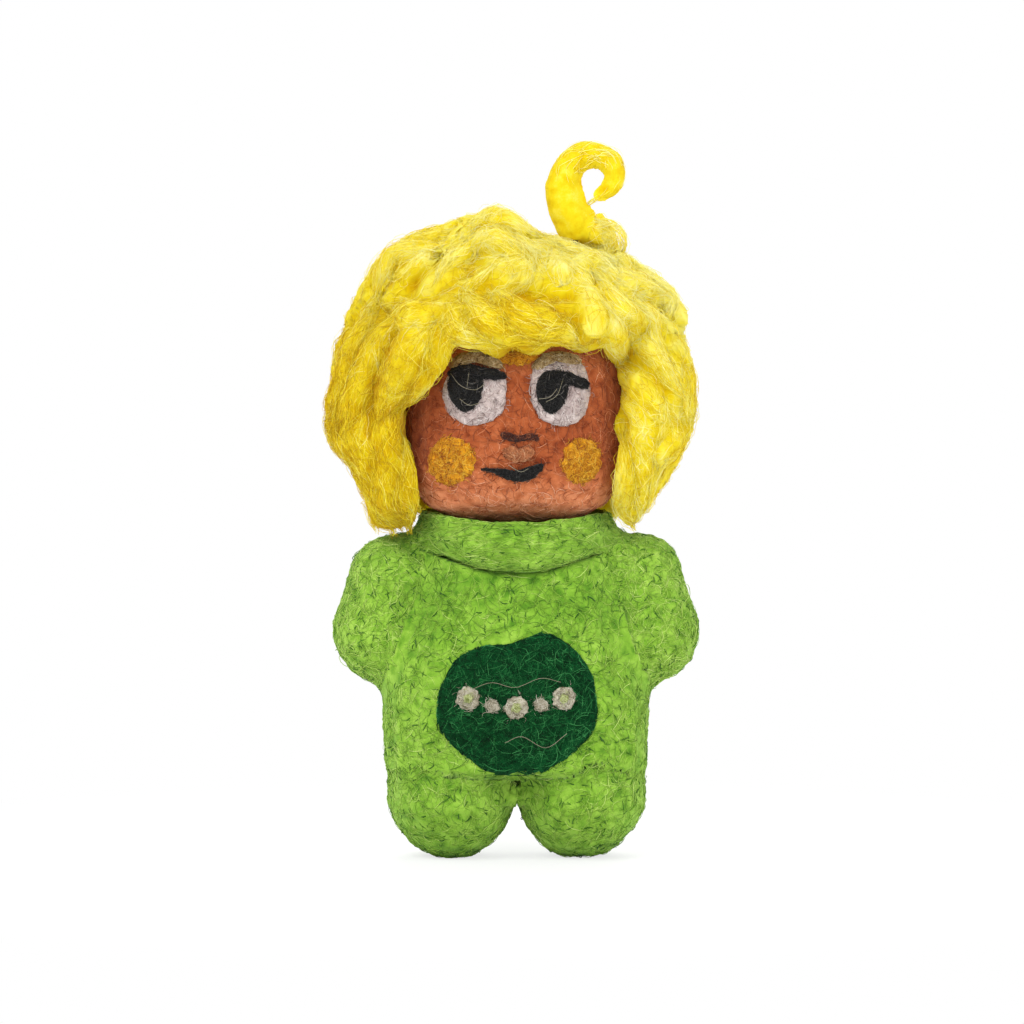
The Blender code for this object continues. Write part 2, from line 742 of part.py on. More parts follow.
def strand_twist():
    """How far each strand of the spine winds from the middle."""
    return WIRE + STRAND_GAP / 2


def arm_wire_end(side):
    """Where the arm wire stops, short of the shoulder's ball."""
    out, _ = arm_frame(side)
    return shoulder_pivot(side) - out * (SHOULDER_BALL + BALL_MARGIN + CLEAR + 2 * WIRE)


def arm_loop():
    """Radius and middle height of the arm wire's turn round the strands."""
    radius = 2 * strand_twist() + ARM_LOOP_GAP + WIRE
    return radius, arm_wire_end(1).z - radius * torso_side_slope() - ARM_LOOP_PITCH


def strand_ends():
    """Where the two strands meet below the arm wire's turn, and where they end above it."""
    height = arm_loop()[1]
    return height - STRAND_BELOW_LOOP, height + STRAND_ABOVE_LOOP


def add_armature(core):
    """The twisted spine, the arm wire looped round it, and the room for them."""
    twist = strand_twist()
    low_end, high_end = strand_ends()
    for side in (1, -1):
        hip = Vector((HIP_PIVOT.x * side, 0, core_bottom() + 2 * WIRE + CLEAR))
        meet = Vector((twist * side, 0, low_end))
        corner = Vector((hip.x, 0, hip.z + STRAND_BEND))
        path = [hip, *bend(corner, hip, meet, STRAND_BEND / 2), meet]
        steps = 10
        twisted = []
        for i in range(1, steps + 1):
            height = low_end + (high_end - low_end) * i / steps
            turn = 2 * math.pi * (height - low_end) / STRAND_PITCH
            twisted.append(Vector((twist * side * math.cos(turn), twist * side * math.sin(turn), height)))
        name = f"{side_name(side)}_spine_strand"
        wire(name, path + twisted)
        cut(core, wire(name + "_channel", path, CLEAR))
    low = Vector((0, 0, low_end - WIRE - CLEAR - SLOT_MARGIN))
    high = Vector((0, 0, high_end + WIRE + CLEAR))
    radius = arm_loop()[0] + WIRE + CLEAR + CHAMBER_MARGIN
    cut(core, tube("spine_chamber", [low, high], [radius] * 2, sides=LIMB_SIDES, round_ends=False))
    lead_in, coil, lead_out = arm_wire_path()
    wire("arm_wire", lead_in + coil + lead_out)
    cut(core, wire("right_arm_channel", lead_in + coil[:1], CLEAR))
    cut(core, wire("left_arm_channel", coil[-1:] + lead_out, CLEAR))


def arm_wire_path():
    """From the right shoulder to the spine, once round it, and out to the left shoulder."""
    ends = {side: arm_wire_end(side) for side in (1, -1)}
    loop, height = arm_loop()
    steps = 12
    coil = []
    for i in range(steps + 1):
        turn = 2 * math.pi * i / steps
        rise = ARM_LOOP_PITCH * (i / steps - 0.5)
        coil.append(Vector((-loop * math.sin(turn), loop * math.cos(turn), height + rise)))
    lead = Vector((loop, 0, 0))
    into = smooth_path([ends[-1], coil[0] - lead, coil[0]], [0] * 3, 3)[0]
    out_of = smooth_path([coil[-1], coil[-1] + lead, ends[1]], [0] * 3, 3)[0]
    return into[:-1], coil, out_of[1:]


def add_neck():
    """The neck wire and the ball of wrapped wool in which it bends."""
    gap = Vector((0, 0, WIRE + CLEAR / 2))
    bottom = Vector((0, 0, strand_ends()[1] + 2 * WIRE + CLEAR))
    wire("neck_wire", [bottom, NECK_PIVOT - gap])
    wrap = ball("neck_wrap", NECK_PIVOT, NECK_BALL, "core_wool")
    reach = NECK_BALL + OVERRUN
    up = Vector((0, 0, 1))
    cut_swing_slot(wrap, NECK_PIVOT, "X", turned(-up, -NECK_NOD, "X"), 2 * NECK_NOD, reach)
    cut_swing_slot(wrap, NECK_PIVOT, "Y", turned(up, -NECK_TILT, "Y"), 2 * NECK_TILT, reach)


def add_head():
    """Head skin and core wool, with the hook of wire that holds the head on."""
    skin = head_form("head_skin", material="skin_wool")
    room = head_form("head_core_room", -HEAD_SKIN, nose=False)
    core = head_form("head_core", -HEAD_SKIN - CLEAR, "core_wool", nose=False)
    start = NECK_PIVOT + Vector((0, 0, WIRE + CLEAR / 2))
    turn = Vector((0, 0, HEAD_CENTRE.z + HEAD_WIRE_RISE))
    path = [start, *hook(turn, Vector((0, 0, 1)), Vector((1, 0, 0)), HEAD_HOOK)]
    channel = wire_in_channel("head_wire", path)
    socket = ball("head_neck_socket", NECK_PIVOT, NECK_BALL + CLEAR)
    cut(skin, room, channel, socket)
    cut(core, channel)


def add_face():
    """The felted dabs of the face, each laid on the skin or on the dab below."""
    on_skin, on_eye = PATCH_CLEAR, 2 * PATCH_CLEAR + FELT_DAB
    for name, eye in (("right", on_head(RIGHT_EYE)), ("left", on_head(LEFT_EYE))):
        white = oval(eye, EYE_HALF_WIDTH, EYE_HALF_HEIGHT)
        dab(f"{name}_eye_white", "white_wool", [(white, eye)], head_front, on_skin, FELT_DAB)
        pupil = (eye[0] + PUPIL_SHIFT[0], eye[1] + PUPIL_SHIFT[1])
        dark = oval(pupil, PUPIL_HALF_WIDTH, PUPIL_HALF_HEIGHT)
        dab(f"{name}_pupil", "black_wool", [(dark, pupil)], head_front, on_eye, FELT_DAB)
        lash = band((eye[0], eye[1] + LASH_SHIFT), LASH_HALF_WIDTH, LASH_THICKNESS, LASH_RISE)
        middle = (eye[0], eye[1] + LASH_SHIFT + LASH_RISE)
        dab(f"{name}_lash", "black_wool", [(lash, middle)], head_front, on_eye, FELT_DAB)
        lid = band((eye[0], eye[1] + LID_SHIFT), LID_HALF_WIDTH, LID_THICKNESS, LID_RISE)
        middle = (eye[0], eye[1] + LID_SHIFT + LID_RISE)
        dab(f"{name}_eyelid", "tan_wool", [(lid, middle)], head_front, on_skin, FELT_DAB)
    for name, cheek in (("right", on_head(RIGHT_CHEEK)), ("left", on_head(LEFT_CHEEK))):
        round_dab = oval(cheek, CHEEK_RADIUS, CHEEK_RADIUS, PATCH_WOBBLE_SHARE)
        dab(f"{name}_cheek", "cheek_wool", [(round_dab, cheek)], head_front, on_skin, FELT_DAB)
    nose = on_head(NOSE_LINE_PLACE)
    line = band(nose, NOSE_LINE_HALF_WIDTH, NOSE_LINE_THICKNESS, 0)
    dab("nose_line", "brown_wool", [(line, nose)], head_front, on_skin, FELT_DAB)
    lip = on_head(LIP_PLACE)
    round_dab = oval(lip, LIP_HALF_WIDTH, LIP_HALF_HEIGHT)
    dab("upper_lip", "lip_wool", [(round_dab, lip)], head_front, on_skin, FELT_DAB)
    mouth = on_head(MOUTH_PLACE)
    smile = band(mouth, MOUTH_HALF_WIDTH, MOUTH_THICKNESS, -MOUTH_SMILE, MOUTH_LEAN)
    middle = (mouth[0], mouth[1] - MOUTH_SMILE)
    dab("mouth", "black_wool", [(smile, middle)], head_front, on_skin, FELT_DAB)
    brow = on_head(BROW_PLACE)
    round_dab = oval(brow, BROW_HALF_WIDTH, BROW_HALF_HEIGHT)
    dab("brow_dab", "cheek_wool", [(round_dab, brow)], head_front, on_skin, FELT_DAB)


def add_patch():
    """Dark round patch on the belly, with a shallow arc of pale dots."""
    outline = oval(PATCH_PLACE, PATCH_HALF_WIDTH, PATCH_HALF_HEIGHT, PATCH_WOBBLE_SHARE, BODY_SIDES)
    dab("belly_patch", "dark_green_wool", [(outline, PATCH_PLACE)], torso_front, PATCH_CLEAR, PATCH_THICKNESS)
    lift = 2 * PATCH_CLEAR + PATCH_THICKNESS
    for number in range(5):
        place = number - 2
        spot = (DOT_SPACING * place, PATCH_PLACE[1] + DOT_ARC * ((place / 2) ** 2 - 0.5))
        large = place % 2 == 0
        size = LARGE_DOT if large else SMALL_DOT
        whole = [(oval(spot, size, size), spot)]
        dab(f"patch_dot_{number + 1}", "cream_wool", whole, torso_front, lift, DOT_THICKNESS)
        if large:
            middle = [(oval(spot, DOT_CENTRE, DOT_CENTRE, sides=TUBE_SIDES), spot)]
            high = lift + DOT_THICKNESS + PATCH_CLEAR
            name = f"patch_dot_{number + 1}_centre"
            dab(name, "pale_green_wool", middle, torso_front, high, DOT_CENTRE_THICKNESS)


# Directions of the cap's lumps and dips, and their heights as shares of CAP_LUMP
CAP_LUMP_SHARES = (
    ((-0.10, -0.15, 1.00), 1.0),
    ((0.25, -0.10, 1.00), -2.0),
    ((-0.62, -0.15, 0.76), 1.0),
    ((0.90, -0.15, 0.42), 1.0),
    ((-1.00, -0.10, -0.10), 0.6),
    ((1.00, -0.10, -0.22), 0.6),
    ((-0.45, -0.80, 0.50), 0.9),
    ((0.35, -0.85, 0.45), 0.9),
    ((0.55, 0.80, 0.30), 0.9),
    ((-0.55, 0.80, 0.25), 0.9),
    ((0.00, 0.75, 0.75), 0.9),
    ((0.00, 1.00, -0.25), 0.8),
    ((0.75, 0.65, -0.35), 0.8),
    ((-0.75, 0.65, -0.35), 0.8),
    ((-0.80, 0.45, 0.50), 0.7),
    ((0.70, 0.40, 0.70), 0.7),
)


def cap_point(direction, grow=0.0, lock_share=0.0):
    semis = (CAP_HALF_WIDTH + grow, CAP_HALF_DEPTH + grow, CAP_HALF_HEIGHT + grow)
    lump = CAP_LOCK_RISE * lock_share * lock_fade(direction)
    for towards, share in CAP_LUMP_SHARES:
        apart = direction.angle(Vector(towards))
        lump += CAP_LUMP * share * math.exp(-((apart / CAP_LUMP_SPREAD) ** 2))
    return CAP_CENTRE + rounded_point(direction, semis, 2.0) + direction * lump


def lock_fade(direction):
    """Share of a lock's height: none at the crown and round the root of the curl."""
    apart = direction.angle(CURL_PIVOT - CAP_CENTRE)
    return math.hypot(direction.x, direction.y) * (1 - math.exp(-((apart / (2 * CAP_LUMP_SPREAD)) ** 2)))


def cap_form(name, grow=0.0, material=None):
    """The cap's rings, turned to and fro down its height so that its locks wave."""
    count = len(CAP_LOCK_SHARES)
    rings = []
    for ring in sphere_directions(CAP_LOCKS * count, CAP_RINGS):
        lean = math.degrees(CAP_LOCK_LEAN * math.sin(CAP_LOCK_WAVES * math.asin(ring[0].z)))
        shares = [CAP_LOCK_SHARES[i % count] if len(ring) > 1 else 0 for i in range(len(ring))]
        rings.append([cap_point(turned(d, lean, "Z"), grow, share) for d, share in zip(ring, shares)])
    return ring_solid(name, rings, material)


# Side lock and fringe: places from the head's centre and radii, in shares of LOCK_RADIUS
SIDE_LOCK_SHARES = (
    (3.75, -1.25, 2.10, 0.75),
    (4.00, -1.35, 0.95, 1.00),
    (3.90, -1.35, -0.30, 1.00),
    (3.55, -1.30, -1.40, 0.82),
    (3.30, -1.20, -2.02, 0.62),
)
FRINGE_SHARES = (
    (-3.05, -1.95, 0.95, 0.72),
    (-2.75, -2.20, 1.90, 0.86),
    (-1.95, -2.45, 2.60, 0.92),
    (-0.75, -2.60, 2.75, 0.90),
    (0.45, -2.60, 2.74, 0.88),
    (1.50, -2.45, 2.62, 0.86),
    (2.45, -2.20, 2.66, 0.78),
)


def lock_path(shares, side=1):
    points, radii = [], []
    for x, y, z, r in shares:
        points.append(HEAD_CENTRE + Vector((x * side, y, z)) * LOCK_RADIUS)
        radii.append(r * LOCK_RADIUS)
    return smooth_path(points, radii, 3)


def add_hair():
    """Cap, fringe and side locks, hollowed for the head and parted from each other."""
    head_room = head_form("head_room", CLEAR)
    far = CAP_HALF_WIDTH + OVERRUN
    cap = cap_form("hair_cap", material="yellow_wool")
    face_opening = box("face_opening", (-far * 2, -far * 2, 0), (far * 2, CAP_FRONT, CAP_BROW))
    nape = box("nape", (-far * 2, -far * 2, 0), (far * 2, far * 2, CAP_NAPE))
    cut(cap, face_opening, nape, head_room)
    behind = box("cap_rim", (-far * 2, CAP_FRONT - CLEAR, 0), (far * 2, far * 2, CAP_BROW + far))
    above = box("cap_brow", (-far * 2, -far * 2, CAP_BROW - CLEAR), (far * 2, far * 2, CAP_BROW + far))
    path, radii = lock_path(FRINGE_SHARES)
    fringe = tube("hair_fringe", path, radii, "yellow_wool", LOCK_SIDES)
    cut(fringe, head_room, above)
    for side in (1, -1):
        path, radii = lock_path(SIDE_LOCK_SHARES, side)
        lock = tube(f"{side_name(side)}_side_lock", path, radii, "yellow_wool", LOCK_SIDES)
        cut(lock, behind, above, head_room)
        cut(fringe, tube(f"{side_name(side)}_lock_room", path, radii, sides=LOCK_SIDES, grow=CLEAR))
    return cap


# The curl's path in the frontal plane from its pivot, in shares of CURL_SIZE,
# and its radii in shares of CURL_RADIUS
CURL_SHARES = (
    (0.00, 0.00, 1.00),
    (-0.13, 0.24, 0.95),
    (-0.19, 0.52, 0.86),
    (-0.12, 0.78, 0.76),
    (0.08, 0.96, 0.68),
    (0.31, 0.98, 0.61),
    (0.50, 0.86, 0.55),
    (0.57, 0.66, 0.48),
    (0.47, 0.49, 0.41),
    (0.33, 0.41, 0.31),
)
# The root lock's path from the pivot, in shares of CURL_SIZE
ROOT_LOCK_SHARES = (
    (0.62, 0.06, -0.52),
    (0.45, 0.03, -0.24),
    (0.22, 0.00, -0.06),
)


def add_curl(cap):
    """The curl with its wire, and the root lock that seats it on the cap."""
    points = [CURL_PIVOT + Vector((x, 0, z)) * CURL_SIZE for x, z, _ in CURL_SHARES]
    path, radii = smooth_path(points, [r * CURL_RADIUS for _, _, r in CURL_SHARES], 3)
    curl = tube("curl", path, radii, "yellow_wool", LOCK_SIDES)
    down = Vector((0, 0, -1))
    inside = [p for p in path if (p - CURL_PIVOT).length > 2 * CURL_WIRE + CLEAR]
    inside = inside[: round(len(inside) * CURL_WIRE_SHARE)]
    channel = wire_in_channel("curl_wire", inside, CURL_WIRE, [CURL_PIVOT])
    wire("curl_root_wire", [CURL_PIVOT + down * (CURL_RADIUS - CURL_WIRE), CURL_PIVOT], radius=CURL_WIRE)
    cut(curl, channel)
    start = turned(down, -CURL_NOD, "X")
    cut_swing_slot(curl, CURL_PIVOT, "X", start, 2 * CURL_NOD, CURL_RADIUS + OVERRUN, CURL_WIRE)
    socket = ball("curl_socket", CURL_PIVOT, CURL_RADIUS + CLEAR)
    points = [CURL_PIVOT + Vector(share) * CURL_SIZE for share in ROOT_LOCK_SHARES]
    path, radii = smooth_path(points, [ROOT_LOCK_RADIUS] * len(points), 3)
    root = tube("curl_root_lock", path, radii, "yellow_wool", LOCK_SIDES)
    cut(root, cap_form("cap_room", CLEAR), socket)
    cut(cap, socket)


def build():
    clear_scene()
    core = add_torso()
    add_armature(core)
    add_neck()
    add_head()
    add_face()
    add_patch()
    for side in (1, -1):
        add_arm(side)
        add_leg(side)
    add_curl(add_hair())


build()
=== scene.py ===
"""Looks of a small needle-felted wool doll with a mop of yellow wool hair.

Every soft piece starts from the form of its CAD node, in a fine mesh with lumps and
needle dimples, and carries a layer of real wool fibres. Lengths are in millimetres
unless a name says otherwise, and MM turns them into metres."""

import math
from itertools import product

import bpy
import numpy as np
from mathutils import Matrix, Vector
from mathutils.bvhtree import BVHTree
from mathutils.kdtree import KDTree


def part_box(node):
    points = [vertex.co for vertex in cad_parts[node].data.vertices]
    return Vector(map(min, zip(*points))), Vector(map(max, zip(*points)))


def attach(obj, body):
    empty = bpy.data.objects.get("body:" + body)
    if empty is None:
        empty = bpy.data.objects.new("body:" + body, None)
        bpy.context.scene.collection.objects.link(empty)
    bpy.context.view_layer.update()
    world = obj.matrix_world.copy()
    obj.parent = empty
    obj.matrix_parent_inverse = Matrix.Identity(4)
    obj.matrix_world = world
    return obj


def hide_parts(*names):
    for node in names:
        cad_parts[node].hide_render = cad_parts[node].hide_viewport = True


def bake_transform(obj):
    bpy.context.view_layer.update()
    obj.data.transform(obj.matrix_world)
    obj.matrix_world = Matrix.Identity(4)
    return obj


MM = 0.001

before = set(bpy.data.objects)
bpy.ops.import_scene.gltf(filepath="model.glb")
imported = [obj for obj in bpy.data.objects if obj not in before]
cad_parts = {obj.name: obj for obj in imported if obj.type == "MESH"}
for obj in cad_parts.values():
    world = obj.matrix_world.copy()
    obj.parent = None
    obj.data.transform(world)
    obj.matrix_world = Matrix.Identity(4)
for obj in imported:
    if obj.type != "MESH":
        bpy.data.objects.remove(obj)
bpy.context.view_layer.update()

# Where the photograph's pixels lie in the frontal plane
PHOTO_CENTRE_X = 516.0
PHOTO_FLOOR_Y = 857.0
MM_PER_PIXEL = 0.14

# Camera
CAMERA_DISTANCE = 620.0
CAMERA_ELEVATION = 2.0
SENSOR_WIDTH = 36.0
VIEW_WIDTH = 143.4
VIEW_CENTRE = (-0.56, 0.0, 48.3)

# Head and torso, as the CAD has them
HEAD_CENTRE = (0.0, -0.5, 62.0)
HEAD_HALF = (15.6, 13.4, 15.0)
HAIR_CENTRE = (-0.4, 0.7, 68.6)
TORSO_AXIS = (0.0, 0.0, 30.0)
LEG_AXIS_X = 8.9

# Felt: sizes of the needle's pits, of the cloud in the tone, and the margin in a baking cell
PIT_SIZE = 1.5
FINE_PIT_SIZE = 0.8
CLOUD_SIZE = 9.0
CELL_MARGIN = 0.08

# Body: rise of the collar's ridge, share of short dark strokes among the fibres, and the gap at a limb
# that no fibre lies in
COLLAR_LIFT = 0.9
# The short dark strokes are painted shade, for the gaps between bundles of fibres
SHADE_STROKE_SHARE = 0.14
LIMB_GAP = 0.35

# Head: how square the jaw is, 2 being round
JAW_POWER = 2.6


def srgb(*levels):
    """Linear colour of sRGB levels from 0 to 255."""
    shares = [v / 255 for v in levels]
    return [s / 12.92 if s <= 0.04045 else ((s + 0.055) / 1.055) ** 2.4 for s in shares]


def at_pixel(x, y):
    """X and Z in millimetres of a pixel of the photograph."""
    return (x - PHOTO_CENTRE_X) * MM_PER_PIXEL, (PHOTO_FLOOR_Y - y) * MM_PER_PIXEL


def unit(vectors):
    """Vectors at length 1."""
    return vectors / np.maximum(np.linalg.norm(vectors, axis=-1, keepdims=True), 1e-12)


def ramp(past, span):
    """0 to 1 over a span, for values that tell how far they are past its start."""
    return np.clip(past / span, 0, 1)


class Noise:
    """Smooth noise in space, about -1 to 1, the same on every run."""

    def __init__(self, seed):
        rng = np.random.default_rng(seed)
        self.turns = rng.permutation(256)
        self.slopes = unit(rng.normal(size=(256, 3)))

    def __call__(self, points, size):
        scaled = np.asarray(points, float) / size
        cell = np.floor(scaled).astype(int)
        inside = scaled - cell
        ease = inside**3 * (inside * (inside * 6 - 15) + 10)
        total = np.zeros(len(scaled))
        for corner in product((0, 1), repeat=3):
            at = (cell + corner) & 255
            turn = self.turns[(self.turns[(self.turns[at[:, 0]] + at[:, 1]) & 255] + at[:, 2]) & 255]
            weight = np.where(corner, ease, 1 - ease).prod(axis=1)
            total += weight * ((inside - corner) * self.slopes[turn]).sum(axis=1)
        return total * 1.7


# Materials


def feed(tree, node, feeds):
    """Feeds a node's sockets, each with a plain value or from another node's socket."""
    for name, value in feeds.items():
        if isinstance(value, bpy.types.NodeSocket):
            tree.links.new(value, node.inputs[name])
        else:
            node.inputs[name].default_value = value


def new_node(tree, kind, feeds):
    node = tree.nodes.new("ShaderNode" + kind)
    feed(tree, node, feeds)
    return node


def math_node(tree, operation, *values):
    node = new_node(tree, "Math", dict(enumerate(values)))
    node.operation = operation
    return node.outputs[0]


def noise_node(tree, place, size, detail, roughness=0.5, distortion=0.0):
    """Noise whose cells have a size in mm."""
    feeds = {"Vector": place, "Scale": 1 / (size * MM), "Detail": detail}
    feeds |= {"Roughness": roughness, "Distortion": distortion}
    return new_node(tree, "TexNoise", feeds).outputs["Fac"]


def ramp_node(tree, level, shades):
    """A colour scale; each shade is a place from 0 to 1 and sRGB levels."""
    node = new_node(tree, "ValToRGB", {"Fac": level})
    elements = node.color_ramp.elements
    while len(elements) < len(shades):
        elements.new(0.5)
    for element, (place, *levels) in zip(elements, shades):
        element.position = place
        element.color = (*srgb(*levels), 1)
    return node.outputs["Color"]


def attribute_node(tree, name, output):
    node = tree.nodes.new("ShaderNodeAttribute")
    node.attribute_name = name
    return node.outputs[output]


def object_place(tree):
    return tree.nodes.new("ShaderNodeTexCoord").outputs["Object"]


def rays_of(tree, first, *others):
    """1 for rays of the kinds named, else 0."""
    rays = tree.nodes.new("ShaderNodeLightPath")
    level = rays.outputs[f"Is {first} Ray"]
    for kind in others:
        level = math_node(tree, "MAXIMUM", level, rays.outputs[f"Is {kind} Ray"])
    return level


def add_bumps(tree, shader, height, strength, distance):
    """Relief in the shading only, with its height in mm."""
    feeds = {"Strength": strength, "Distance": distance * MM, "Height": height}
    feed(tree, shader, {"Normal": new_node(tree, "Bump", feeds).outputs["Normal"]})


def mix_into(tree, output, share, first, second):
    """Feeds an output node with the first shader and a share of the second."""
    mixed = new_node(tree, "MixShader", {"Fac": share, 1: first.outputs[0], 2: second.outputs[0]})
    feed(tree, tree.nodes[output], {"Surface": mixed.outputs[0]})


def new_material(name):
    """A new material, its tree and its main shader."""
    material = bpy.data.materials.new(name)
    material.use_nodes = True
    return material, material.node_tree, material.node_tree.nodes["Principled BSDF"]


# How much soft blotches and fine grain change a wool's shade
BLOTCH_WEIGHT = 0.55
GRAIN_WEIGHT = 0.35


def wool_material(name, shades, blotch=1.3, grain=0.22, bump=0.5, sheen=0.08, clear=0.0, flow=False):
    """Wool whose shade goes by each point's tone, by soft blotches and by fine fibre grain.

    With flow, the grain lies along the way that each point's flow attribute gives, in mm."""
    material, tree, shader = new_material(name)
    place = object_place(tree)
    soft = noise_node(tree, place, blotch, 2.0, 0.6)
    if flow:
        fine = noise_node(tree, attribute_node(tree, "flow", "Vector"), grain / MM, 3.0, 0.65, 0.3)
    else:
        fine = noise_node(tree, place, grain, 3.0, 0.65, 0.6)
    level = math_node(tree, "MULTIPLY_ADD", soft, BLOTCH_WEIGHT, attribute_node(tree, "tone", "Fac"))
    level = math_node(tree, "MULTIPLY_ADD", fine, GRAIN_WEIGHT, level)
    level = math_node(tree, "SUBTRACT", level, (BLOTCH_WEIGHT + GRAIN_WEIGHT) / 2)
    colour = ramp_node(tree, level, shades)
    rough = math_node(tree, "MULTIPLY_ADD", fine, 0.2, 0.8)
    feed(tree, shader, {"Base Color": colour, "Roughness": rough, "Specular IOR Level": 0.06})
    feed(tree, shader, {"Sheen Weight": sheen, "Sheen Roughness": 0.6})
    add_bumps(tree, shader, fine, bump, 0.12)
    if clear:
        through = new_node(tree, "BsdfTranslucent", {"Color": colour})
        mix_into(tree, "Material Output", clear, shader, through)
    return material


def wire_material(name):
    """Soft steel wire, with a fine grain and a slight cloud in its shine."""
    material, tree, shader = new_material(name)
    place = object_place(tree)
    grain = noise_node(tree, place, 0.15, 2.0)
    cloud = ramp_node(tree, noise_node(tree, place, 2.0, 3.0), ((0.3, 120, 121, 124), (0.7, 176, 177, 180)))
    rough = math_node(tree, "MULTIPLY_ADD", grain, 0.2, 0.25)
    feed(tree, shader, {"Base Color": cloud, "Metallic": 1.0, "Roughness": rough})
    add_bumps(tree, shader, grain, 0.3, 0.03)
    return material


# Each wool's options, then its shades from dark to light: a place on the scale and sRGB levels
WOOL_TABLE = {
    "lime_wool": (
        dict(blotch=1.8),
        (0, 40, 84, 12), (0.25, 76, 122, 26), (0.5, 114, 157, 44), (0.75, 144, 182, 68), (1, 184, 210, 112),
    ),
    "skin_wool": (
        dict(blotch=1.0),
        (0, 112, 46, 18), (0.3, 148, 74, 38), (0.55, 178, 102, 62), (0.8, 204, 130, 90), (1, 226, 170, 136),
    ),
    "dark_green_wool": (dict(sheen=0.02), (0, 0, 26, 10), (0.4, 4, 56, 24), (0.7, 14, 84, 40), (1, 66, 142, 80)),
    "yellow_wool": (
        dict(blotch=2.6, grain=0.3, bump=0.35, clear=0.45, flow=True),
        (0, 218, 172, 0), (0.25, 234, 205, 0), (0.5, 246, 229, 34), (0.75, 252, 244, 104), (1, 254, 249, 158),
    ),
    "yellow_fibre": (
        dict(blotch=2.6, bump=0.2, clear=0.18),
        (0, 196, 150, 0), (0.25, 228, 194, 0), (0.5, 248, 228, 40), (0.75, 254, 244, 114), (1, 255, 250, 168),
    ),
    "white_wool": ({}, (0, 130, 112, 108), (0.4, 176, 160, 156), (0.7, 206, 193, 189), (1, 232, 224, 220)),
    "black_wool": (dict(sheen=0.1), (0, 4, 4, 4), (0.6, 16, 15, 14), (0.85, 40, 38, 36), (1, 96, 92, 88)),
    "brown_wool": (dict(sheen=0.1), (0, 34, 14, 8), (0.5, 62, 26, 16), (0.8, 104, 52, 32), (1, 160, 100, 66)),
    "tan_wool": ({}, (0, 104, 80, 44), (0.4, 156, 130, 90), (0.7, 188, 166, 122), (1, 220, 206, 172)),
    "cheek_wool": ({}, (0, 138, 70, 6), (0.3, 176, 110, 10), (0.6, 208, 150, 26), (1, 230, 188, 66)),
    "lip_wool": ({}, (0, 124, 66, 36), (0.4, 168, 102, 64), (0.7, 194, 132, 88), (1, 218, 168, 128)),
    "cream_wool": ({}, (0, 104, 98, 76), (0.35, 156, 149, 128), (0.65, 188, 182, 164), (1, 222, 216, 202)),
    "pale_green_wool": ({}, (0, 110, 122, 60), (0.4, 158, 166, 104), (0.7, 190, 196, 142), (1, 220, 224, 184)),
    # The darkest shade of the core wool is painted shade, for the neck wrap in the gap under the chin
    "core_wool": (
        {},
        (0, 52, 40, 28), (0.2, 150, 142, 120), (0.4, 192, 184, 162), (0.7, 214, 208, 190), (1, 234, 230, 216),
    ),
}
WOOLS = {name: wool_material(name, shades, **options) for name, (options, *shades) in WOOL_TABLE.items()}
STEEL = wire_material("steel_wire")


# Meshes


def read(items, name, width, kind=float):
    """One property of all items of a mesh, as an array with rows of a width."""
    found = np.empty(len(items) * width, kind)
    items.foreach_get(name, found)
    return found.reshape(-1, width)


def points_of(mesh):
    return read(mesh.vertices, "co", 3) / MM


def normals_of(mesh):
    return read(mesh.vertex_normals, "vector", 3)


def corners_of(mesh):
    """Triangles of a mesh as rows of three vertex numbers."""
    mesh.calc_loop_triangles()
    return read(mesh.loop_triangles, "vertices", 3, np.int32)


def in_metres(points):
    """Blender's row of coordinates for points in mm, none of them below the floor."""
    return (np.maximum(points, (-np.inf, -np.inf, 0)) * MM).ravel()


def set_points(mesh, points):
    mesh.vertices.foreach_set("co", in_metres(points))
    mesh.update()


def new_mesh(name, points, faces):
    """A mesh from arrays: points in mm, and a list of arrays of faces with 3 or 4 corners."""
    mesh = bpy.data.meshes.new(name)
    mesh.vertices.add(len(points))
    mesh.vertices.foreach_set("co", in_metres(points))
    corners = np.concatenate([f.ravel() for f in faces])
    counts = np.concatenate([np.full(len(f), f.shape[1]) for f in faces])
    mesh.loops.add(len(corners))
    mesh.loops.foreach_set("vertex_index", corners.astype(np.int32))
    mesh.polygons.add(len(counts))
    starts = np.concatenate([[0], np.cumsum(counts)[:-1]])
    mesh.polygons.foreach_set("loop_start", starts.astype(np.int32))
    mesh.update(calc_edges=True)
    return mesh


def dress(piece, wool, tone, body, nodes=(), flow=None):
    """Gives a piece its tone, wool and body, and hides the CAD nodes that it stands for.

    A piece without a body stays unattached."""
    mesh = piece.data
    if piece.name not in bpy.context.scene.collection.objects:
        bpy.context.scene.collection.objects.link(piece)
    mesh.attributes.new("tone", "FLOAT", "POINT").data.foreach_set("value", np.asarray(tone, np.float32))
    if wool == "yellow_wool":
        flow = np.asarray(points_of(mesh) if flow is None else flow, np.float32)
        mesh.attributes.new("flow", "FLOAT_VECTOR", "POINT").data.foreach_set("vector", flow.ravel())
    mesh.shade_smooth()
    mesh.materials.clear()
    mesh.materials.append(WOOLS[wool])
    if body:
        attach(piece, body)
    if nodes:
        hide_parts(*nodes)
    return piece


def new_piece(name, points, faces, *looks):
    """A piece from arrays as for new_mesh, dressed with its looks."""
    return dress(bpy.data.objects.new(name, new_mesh(name, points, faces)), *looks)


def tree_of(*meshes):
    """A search tree, in mm, over the faces of meshes."""
    points, faces = [], []
    for mesh in meshes:
        faces += [[v + len(points) for v in p.vertices] for p in mesh.polygons]
        points += points_of(mesh).tolist()
    return BVHTree.FromPolygons(points, faces)


